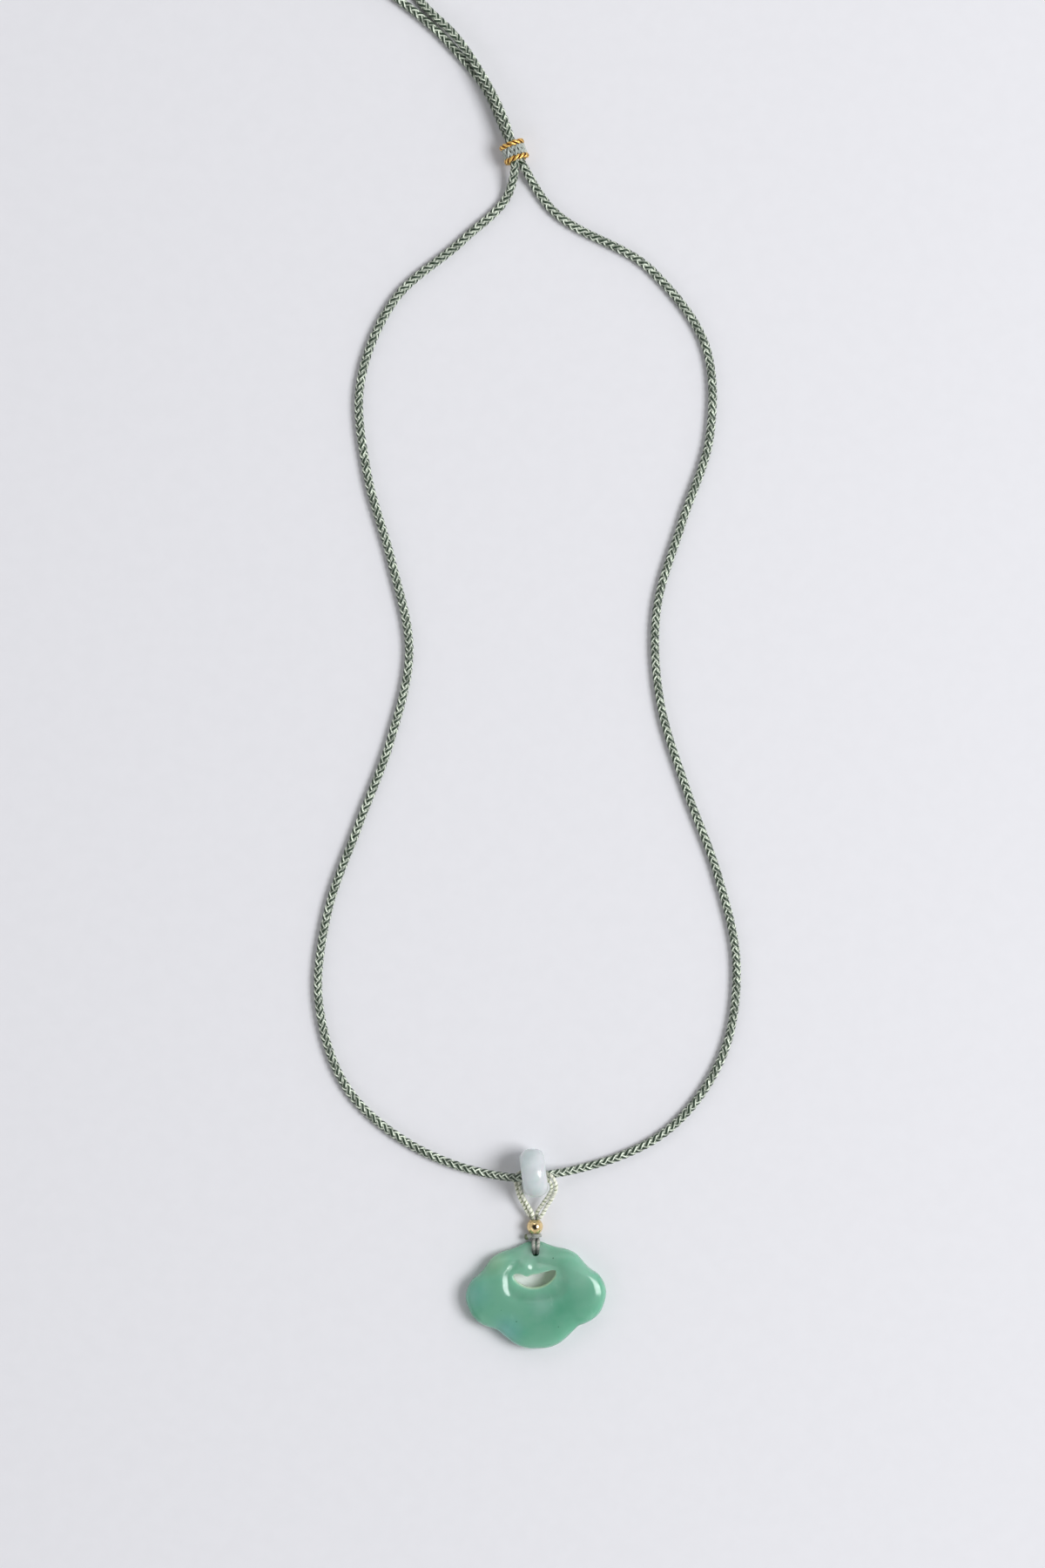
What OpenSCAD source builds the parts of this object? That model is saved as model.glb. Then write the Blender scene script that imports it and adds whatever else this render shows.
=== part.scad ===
// Carved jade cloud-lock pendant, hung from a braided necklace cord by a jade ring bead.
// It lies on a flat surface at z = 0, with the pendant towards -Y and the sliding knot towards +Y.
// All sizes are millimetres.

/* [Necklace cord] */
// Diameter of the braided necklace cord
cord_d = 2.1; // [1.8:0.05:2.1]

/* [Sliding knot] */
// Thickness of the thread wrapping round the two cords
wrap_t = 0.65; // [0.5:0.05:0.8]
// Length of the wrapping between the gold rows
wrap_l = 2; // [1.6:0.1:2.6]
// Length of one gold row along the knot
gold_row_l = 1.25; // [0.9:0.05:1.5]
// How far a gold row stands proud of the wrapping
gold_row_proud = 0.12; // [0:0.02:0.14]

/* [Tail knots] */
// Diameter of a stopper knot
tail_knot_d = 5; // [4:0.2:5.6]
// Length of a stopper knot along its tail
tail_knot_l = 5.2; // [4:0.2:6]

/* [Ring bead] */
// Outside diameter of the ring bead
ring_d = 11.2; // [10.9:0.1:11.4]
// Width of the ring bead along its hole
ring_w = 5.7; // [5:0.1:5.9]
// Diameter of the ring bead's hole
ring_bore = 5.2; // [5.1:0.1:6]
// Radius of the ring bead's outer edges
ring_edge = 2; // [1:0.1:2]

/* [Bail cord] */
// Diameter of the thin cord that carries the pendant
bail_d = 1; // [0.8:0.05:1.02]

/* [Gold bead] */
// Diameter of the gold bead
gold_d = 3.7; // [3.4:0.1:3.8]
// Diameter of the hole through the gold bead
gold_bore = 2.2; // [2.1:0.1:2.5]

/* [Hitch] */
// Height of the turn of cord round the four strands
hitch_l = 0.95; // [0.7:0.05:0.95]
// Thickness of that turn
hitch_t = 0.62; // [0.4:0.02:0.7]
// Diameter of the sealed end beside it
hitch_end_d = 1.35; // [1:0.05:1.4]

/* [Pendant] */
// Width of the pendant across its side lobes
pendant_w = 32.2; // [28:0.2:36]
// Height of the pendant before its point is blunted for the cord
pendant_h = 25; // [24:0.2:27]
// Thickness of the pendant inside its rounded rim
pendant_t = 5.2; // [4.4:0.1:6]
// Thickness of the point that the cord passes through
lug_t = 3.4; // [3.2:0.1:3.5]
// Depth of the dished field round the crescent
dish_depth = 0.5; // [0.3:0.05:1]
// Width of the raised stem above the crescent
stem_w = 2.9; // [2:0.1:3.6]
// Length of the crescent cut through the pendant
crescent_w = 9.7; // [8:0.1:11]
// Thickness of the crescent at its middle
crescent_t = 3.2; // [2.6:0.02:4]
// How far the crescent's tips rise above its middle
crescent_bend = 1.6; // [1:0.1:2.4]
// How far the stem dips into the crescent's upper edge
crescent_dip = 0.5; // [0:0.1:0.8]
// Diameter of the drilled cord hole
hole_d = 1.6; // [1.6:0.02:2]
// Distance of the cord hole from the outline's top
hole_edge = 2.95; // [2.9:0.05:3.1]
// Depth of the groove that the strands lie in behind the point
groove_depth = 1; // [0.9:0.05:1.2]

/* [Hidden] */

// Clearance between pieces that meet
gap = 0.05;
// Step of the arcs that round an edge, in degrees
arc_step = 10;
// Flats round a cord
cord_sides = 8;
$fn = 96;

sage = [0.30, 0.37, 0.33];
pale_sage = [0.62, 0.66, 0.58];
gold = [0.85, 0.66, 0.30];
ice_jade = [0.80, 0.84, 0.84];
green_jade = [0.42, 0.66, 0.56];

// Middle line of the necklace cord: x, y, z of points chosen by hand. The cord sinks to the
// surface where z is 0. It runs from tail b through the sliding knot, down the left side,
// through the ring bead and back up the right side to tail a.
cord_route = [
    [-32.5, 179.5, 2.3], [-25.6, 169.6, 1.1], [-18.5, 162.4, 2.6], [-12.6, 153.8, 3.2],
    [-5.65, 137.9, 4.08], [-4.75, 133.3, 3.86], [-6, 126.8, 1.6], [-16.6, 115.8, 0],
    [-32.3, 102.1, 0], [-40.2, 82.9, 0], [-38.6, 62.1, 0], [-33, 41.9, 0],
    [-29, 21.4, 0], [-33.3, 0.9, 0], [-40.7, -18.7, 0], [-47.7, -38.5, 0],
    [-49.7, -59.3, 0], [-43.1, -79, 0], [-27.3, -92.5, 0], [-10, -98.5, 2.1],
    [-3.2, -98.95, 5.2], [2.5, -98.35, 4.5], [9.5, -97.3, 1.6], [30.9, -87.9, 0],
    [43, -71, 0], [46.1, -50.4, 0], [41.8, -29.9, 0], [34.6, -10.2, 0],
    [28.6, 9.9, 0], [27.8, 30.8, 0], [33.6, 50.9, 0], [40, 70.9, 0],
    [38.9, 91.7, 0], [26.9, 108.5, 0], [2.9, 123.7, 0], [-3.45, 133.8, 2.15],
    [-5.7, 137.9, 1.92], [-11.8, 151, 0], [-19.6, 160.6, 0], [-42, 179, 2.3]];
// Length of cord between two of its rings, and the bend that a length may make
cord_step = 10;
cord_bend = 16;

// The wrapping goes round the two cords side by side
wrap_d = 2 * (cord_d + 2 * gap + wrap_t);

// Rounding of the ring bead's hole, and of its outside edges as far as its wall allows
ring_inner_edge = 0.7;
ring_outer_edge = min(ring_edge, (ring_d - ring_bore) / 2 - ring_inner_edge - 0.1);

// Places and turns of the pieces
knot_clearance = 0.03;
knot_at = [-4.9, 135.7, wrap_d / 2 + gold_row_proud + knot_clearance];
knot_turn = 20;
tail_knot_turn = [51, 35];
tail_gap = 0.15;
ring_at = [-0.4, -97.8, ring_d / 2];
ring_turn = 7.8;
bead_at = [-0.16, -110.4, 1.9];
hitch_at = [0.1, -112.5, 1.55];
// Radius inside the hitch's turn, round the four strands
hitch_r = 0.8;
hitch_end_at = [-1.94, -112.75, 1.55];
// The pendant hangs by its top, this far below the hitch's middle
pendant_below = 0.81;
pendant_turn = 2.5;
pendant_top = [-0.445, hitch_at[1] - pendant_below, 0];
pendant_at = pendant_top - turned([0, pendant_h / 2, 0], pendant_turn);

// Middle line of the bail cord, one cord that goes twice round. Its columns are the place that
// the numbers are measured from, three numbers and the cord's thickness as a share of bail_d.
// ring: half widths along the hole, then hole radii towards +Y and +Z.
// bead: hole radii towards +X, bead radii towards +Y, hole radii towards +Z.
// hitch: millimetres from the hitch's middle.
// stone: millimetres to the right of the cord hole, below the outline's top, and above the back.
// air: millimetres in the shared frame.
bail_route = [
    ["hitch", 0.34, 0.12, 0.34, 0.62], ["bead", 0.4, -0.5, 0.38, 0.72],
    ["bead", 0.39, 0.5, 0.38, 0.74], ["bead", 0.5, 0.95, 0.47, 0.8],
    ["air", 1.18, -108, 2.95, 0.98], ["air", 2.45, -105.78, 3.7, 1],
    ["air", 3.88, -103.4, 4.55, 1], ["ring", 1.59, -1.62, -0.04, 1],
    ["ring", 1.56, -0.92, 0.22, 1], ["ring", 1.34, -0.45, 0.32, 0.95],
    ["ring", 1, -0.19, 0.23, 0.86], ["ring", 0.6, 0.06, 0.2, 0.85],
    ["ring", 0, 0.3, -0.19, 0.85], ["ring", -0.6, 0.09, -0.67, 0.85],
    ["ring", -1, -0.24, -0.75, 0.86], ["ring", -1.21, -0.6, -0.73, 0.95],
    ["ring", -1.23, -1.27, -0.67, 1], ["air", -3.05, -102.96, 3.65, 1],
    ["air", -1.85, -105.36, 3.1, 1], ["air", -0.72, -107.66, 2.7, 0.98],
    ["bead", -0.5, 0.95, 0.47, 0.8], ["bead", -0.39, 0.5, 0.38, 0.74],
    ["bead", -0.4, -0.5, 0.38, 0.72], ["hitch", -0.33, 0.3, 0.35, 0.62],
    ["hitch", -0.33, -0.3, 0.35, 0.62], ["stone", -0.22, 0, 2.12, 0.72],
    ["stone", -0.36, 0.74, 2.8, 0.9], ["stone", -0.39, 1.44, 3.26, 0.92],
    ["stone", -0.4, 2.3, 3.58, 0.92], ["stone", -0.42, 2.8, 3.34, 0.82],
    ["stone", -0.4, 3.07, 2.6, 0.77], ["stone", -0.4, 3.06, 1.5, 0.78],
    ["stone", -0.4, 2.75, 0.75, 0.78], ["stone", -0.4, 2, 0.48, 0.78],
    ["stone", -0.38, 0.9, 0.48, 0.78], ["stone", -0.15, 0, 0.8, 0.66],
    ["hitch", -0.33, -0.3, -0.34, 0.62], ["hitch", -0.33, 0.3, -0.31, 0.62],
    ["bead", -0.4, -0.5, -0.36, 0.72], ["bead", -0.39, 0.5, -0.38, 0.74],
    ["bead", -0.54, 0.95, -0.36, 0.8], ["air", -1.37, -107.94, 1.75, 0.98],
    ["air", -2.58, -105.64, 2.3, 1], ["air", -3.78, -103.24, 2.88, 1],
    ["ring", -1.52, -1.27, -0.97, 1], ["ring", -1.53, -0.54, -1, 1],
    ["ring", -1.38, -0.1, -0.9, 0.95], ["ring", -1, 0.2, -0.65, 0.86],
    ["ring", -0.6, 0.36, -0.28, 0.85], ["ring", 0, 0.18, 0.25, 0.85],
    ["ring", 0.6, -0.37, 0.35, 0.85], ["ring", 1, -0.67, 0.18, 0.86],
    ["ring", 1.19, -0.98, 0.09, 0.96], ["ring", 1.23, -1.62, -0.25, 1],
    ["air", 3.05, -102.92, 4.15, 1], ["air", 1.52, -105.26, 3.08, 1],
    ["air", 0.27, -107.56, 2, 0.98], ["bead", 0.42, 0.95, -0.36, 0.8],
    ["bead", 0.39, 0.5, -0.38, 0.74], ["bead", 0.4, -0.5, -0.36, 0.72],
    ["hitch", 0.33, 0.3, -0.31, 0.62], ["hitch", 0.33, -0.3, -0.34, 0.62],
    ["stone", 0.63, 0, 0.83, 0.66], ["stone", 0.45, 0.9, 0.48, 0.78],
    ["stone", 0.42, 2, 0.48, 0.78], ["stone", 0.42, 2.75, 0.75, 0.78],
    ["stone", 0.41, 3.06, 1.5, 0.78], ["stone", 0.41, 3.07, 2.6, 0.77],
    ["stone", 0.44, 2.8, 3.36, 0.82], ["stone", 0.52, 2.3, 3.6, 0.9],
    ["stone", 0.66, 1.44, 3.26, 0.92], ["stone", 0.74, 0.74, 2.8, 0.9],
    ["stone", 0.72, 0, 2.12, 0.72], ["hitch", 0.33, -0.3, 0.35, 0.62],
    ["hitch", 0.34, -0.06, 0.34, 0.62]];
// Length of bail cord between two of its rings
bail_step = 1.6;

// Right half of the pendant's outline: degrees from its top, and the share of the half width
// and half height that it reaches there. The left half mirrors it.
outline = [
    [0, 0.965], [7, 0.95], [14, 0.91], [21, 0.9], [30, 0.92], [40, 0.923], [49, 0.895],
    [57, 0.884], [64, 0.905], [70, 0.947], [77, 0.974], [90, 1], [104, 0.988], [114, 0.976],
    [123, 0.94], [131, 0.887], [136, 0.853], [143, 0.864], [152, 0.905], [162, 0.967],
    [171, 1], [180, 1]];
// Steps round the outline
outline_steps = 90;
// Sideways place of the cord hole
hole_side = 0.3;
// Width of the groove behind the point
groove_w = 2;
// Height of the outline's widest line above the back, all round and at the thinned point
rim_z = 2.2;
lug_rim_z = 1.2;
// Width of the crown from the rim to the full thickness, and its share of that rise
rim_round = 4.5;
crown_share = 0.44;
// Width of the tighter rounding of the rim's edge
edge_round = 1.1;
// Rounding of the crescent's front edge
crescent_round = 0.4;
// Middle and turn of the crescent, and how blunt its tips are: 1 is an ellipse's
crescent_at = [-0.05, 0.156 * pendant_h];
crescent_turn = 3.5;
crescent_blunt = 0.82;
// Sideways place and half width of the stem's dip in its upper edge
dip_x = -1.85;
dip_half_w = 0.9;
// Middle of the dished field, and half sizes of its edge and of its floor
dish_at = [0, 0.128 * pendant_h];
dish_half = [0.256 * pendant_w, 0.24 * pendant_h];
floor_half = [0.188 * pendant_w, 0.16 * pendant_h];
// How square the field is: 2 is an ellipse
dish_power = 2.8;
// Half width of the thinned point, and the heights between which the pendant thins to it
lug_half_w = 6;
lug_y = [0.2 * pendant_h, 0.4 * pendant_h];
// Middle of the cord hole
hole_at = [hole_side, pendant_h / 2 - hole_edge];
// Heights between which the stem rises out of the dished field, its place beside the hole, and
// its lean from there down
stem_y = [0.176 * pendant_h, 0.304 * pendant_h];
stem_side = -1.5;
stem_lean = 0.25;
// Rows from the rim inwards on the front, as shares of rim_round
front_rows = [0.02, 0.07, 0.15, 0.26, 0.4, 0.6];
// Rows of the back's edge: distance from the rim, share of the rim's height
back_rows = [[1, 0], [0.5, 0.13], [0.13, 0.5], [0, 1]];
// Rows between the rim's rounding and the crescent's edge
field_rows = 11;

// General functions

function unit(v) = v / norm(v);
function xyz(p) = [p[0], p[1], p[2]];
function turned(p, a) = [p[0] * cos(a) - p[1] * sin(a), p[0] * sin(a) + p[1] * cos(a), p[2]];
function smoothstep(lo, hi, v) =
    let (t = min(max((v - lo) / (hi - lo), 0), 1))
    t * t * (3 - 2 * t);

// Shares of a Hermite span at s: its two ends and its two slopes
function hermite(s) = [
    2 * s ^ 3 - 3 * s ^ 2 + 1, s ^ 3 - 2 * s ^ 2 + s,
    3 * s ^ 2 - 2 * s ^ 3, s ^ 3 - s ^ 2];

// Lines through points

function span(points, i) = norm(points[i + 1] - points[i]);
function heading(points, i) = (points[i + 1] - points[i]) / span(points, i);
function slope(points, i) =
    i == 0 ? heading(points, 0)
    : i == len(points) - 1 ? heading(points, i - 1)
    : (heading(points, i - 1) * span(points, i) + heading(points, i) * span(points, i - 1))
        / (span(points, i - 1) + span(points, i));
function between(points, i, s) =
    let (h = hermite(s), w = span(points, i))
    h[0] * points[i] + h[1] * w * slope(points, i)
    + h[2] * points[i + 1] + h[3] * w * slope(points, i + 1);

// Smooth line through the points, with a new point about every step, or oftener where it bends
function turn_at(points, i) =
    acos(min(1, unit(xyz(slope(points, i))) * unit(xyz(slope(points, i + 1)))));
function smooth_line(points, step, bend = 180) = concat(
    [for (i = [0 : len(points) - 2])
        let (n = max(1, round(span(points, i) / step), ceil(turn_at(points, i) / bend)))
        for (k = [0 : n - 1]) between(points, i, k / n)],
    [points[len(points) - 1]]);

// Direction of a line at point i, and a side direction that turns as little as it can
function along(line, i) =
    unit(xyz(line[min(i + 1, len(line) - 1)]) - xyz(line[max(i - 1, 0)]));
function side_from(s, t) = unit(s - (s * t) * t);
function sides(line) = [
    for (i = 0, s = side_from([1, 0, 0], along(line, 0));
        i < len(line);
        i = i + 1, s = i < len(line) ? side_from(s, along(line, i)) : s)
    s];

// Cord along a line of rows x, y, z, diameter
module tube(line) {
    n = cord_sides;
    last = len(line) - 1;
    side = sides(line);
    points = [
        for (i = [0 : last])
            let (u = side[i], v = cross(along(line, i), u))
            for (k = [0 : n - 1])
                let (a = 360 * (k + 0.5) / n)
                xyz(line[i]) + line[i][3] / 2 * (cos(a) * u + sin(a) * v)];
    walls = [
        for (i = [0 : last - 1], k = [0 : n - 1])
            let (a = i * n + k, b = i * n + (k + 1) % n)
            each [[a, a + n, b + n], [a, b + n, b]]];
    ends = [[for (k = [0 : n - 1]) k], [for (k = [n - 1 : -1 : 0]) last * n + k]];
    polyhedron(points = points, faces = concat(ends, walls), convexity = 10);
}

// Sections of turned pieces: radius towards X, height towards Y

function corner(x, y, r, from) =
    [for (a = [from : arc_step : from + 90]) [x + r * cos(a), y + r * sin(a)]];
function collar(r_in, r_out, l, round_in, round_out) = concat(
    corner(r_out - round_out, -l / 2 + round_out, round_out, -90),
    corner(r_out - round_out, l / 2 - round_out, round_out, 0),
    corner(r_in + round_in, l / 2 - round_in, round_in, 90),
    corner(r_in + round_in, -l / 2 + round_in, round_in, 180));
function barrel(r, l, round_out) = concat(
    [[0, -l / 2]],
    corner(r - round_out, -l / 2 + round_out, round_out, -90),
    corner(r - round_out, l / 2 - round_out, round_out, 0),
    [[0, l / 2]]);

// Necklace cord and its knots

cord_line = [
    for (p = smooth_line(cord_route, cord_step, cord_bend))
        [p[0], p[1], max(p[2], cord_d / 2), cord_d]];

module necklace_cord() {
    color(sage) tube(cord_line);
}

// A stopper knot past the cord's end at p
module tail_knot(p, turn) {
    round_out = 0.36 * tail_knot_l;
    color(sage)
        translate([p[0], p[1], tail_knot_d / 2])
            rotate([-90, 0, turn])
                translate([0, 0, tail_gap + tail_knot_l / 2])
                    rotate_extrude()
                        polygon(barrel(tail_knot_d / 2, tail_knot_l, round_out));
}

module tail_knot_a() {
    tail_knot(cord_route[len(cord_route) - 1], tail_knot_turn[0]);
}

module tail_knot_b() {
    tail_knot(cord_route[0], tail_knot_turn[1]);
}

// A collar round the two cords, at a distance from the sliding knot's middle
module knot_collar(at, d, l) {
    translate(knot_at)
        rotate([-90, 0, knot_turn])
            translate([0, 0, at])
                rotate_extrude()
                    polygon(collar(cord_d + 2 * gap, d / 2, l, 0.15, 0.3));
}

module sliding_knot_wrap() {
    color(pale_sage) knot_collar(0, wrap_d, wrap_l);
}

module gold_row(way) {
    color(gold)
        knot_collar(way * (wrap_l / 2 + gap + gold_row_l / 2), wrap_d + 2 * gold_row_proud, gold_row_l);
}

module sliding_knot_gold_upper() {
    gold_row(1);
}

module sliding_knot_gold_lower() {
    gold_row(-1);
}

// Beads and bail

module ring_bead() {
    color(ice_jade)
        translate(ring_at)
            rotate([0, 90, ring_turn])
                rotate_extrude()
                    polygon(collar(ring_bore / 2, ring_d / 2, ring_w, ring_inner_edge, ring_outer_edge));
}

function bail_point(row) =
    let (p = [row[1], row[2], row[3]], r = ring_bore / 2, b = gold_bore / 2)
    row[0] == "ring" ? ring_at + turned([p[0] * ring_w / 2, p[1] * r, p[2] * r], ring_turn)
    : row[0] == "bead" ? bead_at + [p[0] * b, p[1] * gold_d / 2, p[2] * b]
    : row[0] == "hitch" ? hitch_at + p
    : row[0] == "stone"
        ? pendant_at + turned([hole_side + p[0], pendant_h / 2 - p[1], p[2]], pendant_turn)
    : p;
bail_rows = [for (row = bail_route) concat(bail_point(row), row[4] * bail_d)];
bail_line = smooth_line(bail_rows, bail_step);

module bail_cord() {
    color(pale_sage) tube(bail_line);
}

module gold_bead() {
    color(gold)
        translate(bead_at)
            rotate([-90, 0, 0])
                difference() {
                    sphere(d = gold_d);
                    cylinder(d = gold_bore, h = 2 * gold_d, center = true);
                }
}

module hitch_knot() {
    turn_r = hitch_r + hitch_t / 2;
    color(pale_sage) {
        union() {
            translate(hitch_at)
                rotate([-90, 0, 0])
                    rotate_extrude()
                        polygon([for (a = [0 : arc_step : 359])
                            [turn_r + hitch_t / 2 * cos(a), hitch_l / 2 * sin(a)]]);
            translate(hitch_end_at) sphere(d = hitch_end_d);
            translate(hitch_end_at)
                rotate([0, 90, 0])
                    cylinder(d = 0.6 * hitch_l, h = hitch_at[0] - turn_r - hitch_end_at[0]);
        }
    }
}

// Pendant, drawn round its own middle with its back on z = 0

function outline_row(a, i = 0) =
    i == len(outline) - 2 || outline[i + 1][0] > a ? i : outline_row(a, i + 1);
function outline_rise(i) = (outline[i + 1][1] - outline[i][1]) / (outline[i + 1][0] - outline[i][0]);
function outline_slope(i) =
    i == 0 || i == len(outline) - 1 ? 0 : (outline_rise(i - 1) + outline_rise(i)) / 2;
function outline_share(a) =
    let (i = outline_row(a), w = outline[i + 1][0] - outline[i][0])
    let (h = hermite((a - outline[i][0]) / w))
    h[0] * outline[i][1] + h[1] * w * outline_slope(i)
    + h[2] * outline[i + 1][1] + h[3] * w * outline_slope(i + 1);

// Points of the outline and the crescent, a degrees from the top
function rim(a) =
    outline_share(a > 180 ? 360 - a : a) * [pendant_w / 2 * sin(a), pendant_h / 2 * cos(a)];
function blunted(v) = sign(v) * abs(v) ^ crescent_blunt;
function crescent(a) =
    let (x = crescent_w / 2 * blunted(sin(a)))
    let (bend = crescent_bend * (blunted(sin(a)) ^ 2 - 0.5))
    let (dip = cos(a) > 0 ? crescent_dip * exp(-((x - dip_x) / dip_half_w) ^ 2) : 0)
    let (p = turned([x, crescent_t / 2 * blunted(cos(a)) + bend - dip, 0], crescent_turn))
    crescent_at + [p[0], p[1]];

// Height of the front, where the rim's rounding is a share q complete
function lug(p) =
    exp(-(abs(p[0]) / lug_half_w) ^ 2.4) * smoothstep(lug_y[0], lug_y[1], p[1]);
function stem(p) =
    let (x = p[0] - hole_at[0] - stem_side + stem_lean * (hole_at[1] - p[1]))
    1.6 * exp(-(2 * x / stem_w) ^ 2) * smoothstep(stem_y[0], stem_y[1], p[1]);
function reach(p, half) =
    ((abs(p[0]) / half[0]) ^ dish_power + (abs(p[1]) / half[1]) ^ dish_power) ^ (1 / dish_power);
function dish(p) =
    let (inner = max(0, reach(p - dish_at, floor_half) - 1))
    let (outer = max(0, 1 - reach(p - dish_at, dish_half)))
    dish_depth * (1 - smoothstep(0, 1, inner / (inner + outer))) * (1 - stem(p));
function rim_height(p) = rim_z - (rim_z - lug_rim_z) * lug(p);
function front_z(p, q) =
    let (full = pendant_t - (pendant_t - lug_t) * lug(p) - dish(p))
    let (edge = min(1, q * rim_round / (edge_round + (rim_round - edge_round) * lug(p))))
    let (crown = crown_share * (1 - lug(p)))
    rim_height(p) + (full - rim_height(p))
        * (crown * (1 - (1 - q) ^ 2.2) + (1 - crown) * sqrt(1 - (1 - edge) ^ 2));

// One line of points from the crescent over the back and the front to the crescent again
function section(a) =
    let (o = rim(a), c = crescent(a), w = norm(c - o), inwards = (c - o) / w)
    let (far = w - crescent_round)
    let (field = [for (k = [0 : field_rows])
        let (e = rim_round + (far - rim_round) * k / field_rows)
        [o + e * inwards, e]])
    concat(
        [for (row = [[0.3, 0.08], [0.6, 0]])
            let (p = c - row[0] * inwards)
            [p[0], p[1], row[1]]],
        [for (row = back_rows)
            let (p = o + row[0] * inwards)
            [p[0], p[1], row[1] * rim_height(p)]],
        [for (q = front_rows)
            let (p = o + q * rim_round * inwards)
            [p[0], p[1], front_z(p, q)]],
        [for (f = field) [f[0][0], f[0][1], front_z(f[0], 1)]],
        [for (b = [30, 60, 90])
            let (p = c - crescent_round * (1 - sin(b)) * inwards)
            [p[0], p[1], front_z(p, 1) - crescent_round * (1 - cos(b))]],
        [[c[0], c[1], 0.4]]);

module pendant_body() {
    lines = [for (i = [0 : outline_steps - 1]) section(360 * i / outline_steps)];
    m = len(lines[0]);
    n = outline_steps;
    polyhedron(
        points = [for (line = lines) each line],
        faces = [
            for (i = [0 : n - 1], k = [0 : m - 1])
                let (a = i * m + k, b = i * m + (k + 1) % m)
                let (c = ((i + 1) % n) * m + k, d = ((i + 1) % n) * m + (k + 1) % m)
                each [[a, d, b], [a, c, d]]],
        convexity = 10);
}

module jade_pendant() {
    color(green_jade)
        translate(pendant_at)
            rotate([0, 0, pendant_turn])
                difference() {
                    pendant_body();
                    translate([hole_at[0], hole_at[1], -1])
                        cylinder(d = hole_d, h = pendant_t + 2);
                    translate([hole_at[0] - groove_w / 2, hole_at[1], -1])
                        cube([groove_w, pendant_h / 2, 1 + groove_depth]);
                }
}

necklace_cord();
tail_knot_a();
tail_knot_b();
sliding_knot_wrap();
sliding_knot_gold_upper();
sliding_knot_gold_lower();
ring_bead();
bail_cord();
gold_bead();
hitch_knot();
jade_pendant();
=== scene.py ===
from math import ceil, cos, pi, radians, sin

import bmesh
import bpy
import numpy as np
from bpy.props import FloatProperty, FloatVectorProperty, PointerProperty
from bpy.types import Operator, Panel, PropertyGroup
from mathutils import Matrix, Vector


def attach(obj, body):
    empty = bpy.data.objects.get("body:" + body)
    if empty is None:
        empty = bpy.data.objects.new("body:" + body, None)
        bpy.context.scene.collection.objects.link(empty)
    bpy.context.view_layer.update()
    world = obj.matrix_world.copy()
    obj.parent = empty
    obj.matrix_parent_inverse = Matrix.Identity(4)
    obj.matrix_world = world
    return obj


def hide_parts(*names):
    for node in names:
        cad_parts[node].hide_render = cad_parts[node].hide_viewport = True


bl_info = {
    "name": "Jade Pendant Necklace",
    "version": (1, 0, 0),
    "blender": (4, 5, 0),
    "location": "View3D > Sidebar > Necklace",
    "description": "Braided cord, sliding knot, jade, bead and bail over the packed necklace",
    "category": "Object",
}

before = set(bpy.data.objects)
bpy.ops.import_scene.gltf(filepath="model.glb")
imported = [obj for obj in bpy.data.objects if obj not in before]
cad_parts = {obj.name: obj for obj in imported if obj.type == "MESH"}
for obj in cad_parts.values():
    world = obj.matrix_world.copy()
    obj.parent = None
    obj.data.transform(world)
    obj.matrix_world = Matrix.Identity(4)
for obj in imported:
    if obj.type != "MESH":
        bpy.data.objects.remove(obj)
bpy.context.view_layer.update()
MM = 0.001

# Middle line of the necklace cord, as in the CAD source: x, y, z in millimetres, where z 0 means
# that the cord lies on the surface. It runs from tail b through the sliding knot, down the left
# side, through the ring bead and back up the right side to tail a.
CORD_ROUTE = [
    (-32.5, 179.5, 2.3), (-25.6, 169.6, 1.1), (-18.5, 162.4, 2.6), (-12.6, 153.8, 3.2),
    (-5.65, 137.9, 4.08), (-4.75, 133.3, 3.86), (-6, 126.8, 1.6), (-16.6, 115.8, 0),
    (-32.3, 102.1, 0), (-40.2, 82.9, 0), (-38.6, 62.1, 0), (-33, 41.9, 0),
    (-29, 21.4, 0), (-33.3, 0.9, 0), (-40.7, -18.7, 0), (-47.7, -38.5, 0),
    (-49.7, -59.3, 0), (-43.1, -79, 0), (-27.3, -92.5, 0), (-10, -98.5, 2.1),
    (-3.2, -98.95, 5.2), (2.5, -98.35, 4.5), (9.5, -97.3, 1.6), (30.9, -87.9, 0),
    (43, -71, 0), (46.1, -50.4, 0), (41.8, -29.9, 0), (34.6, -10.2, 0),
    (28.6, 9.9, 0), (27.8, 30.8, 0), (33.6, 50.9, 0), (40, 70.9, 0),
    (38.9, 91.7, 0), (26.9, 108.5, 0), (2.9, 123.7, 0), (-3.45, 133.8, 2.15),
    (-5.7, 137.9, 1.92), (-11.8, 151, 0), (-19.6, 160.6, 0), (-42, 179, 2.3),
]

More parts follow.
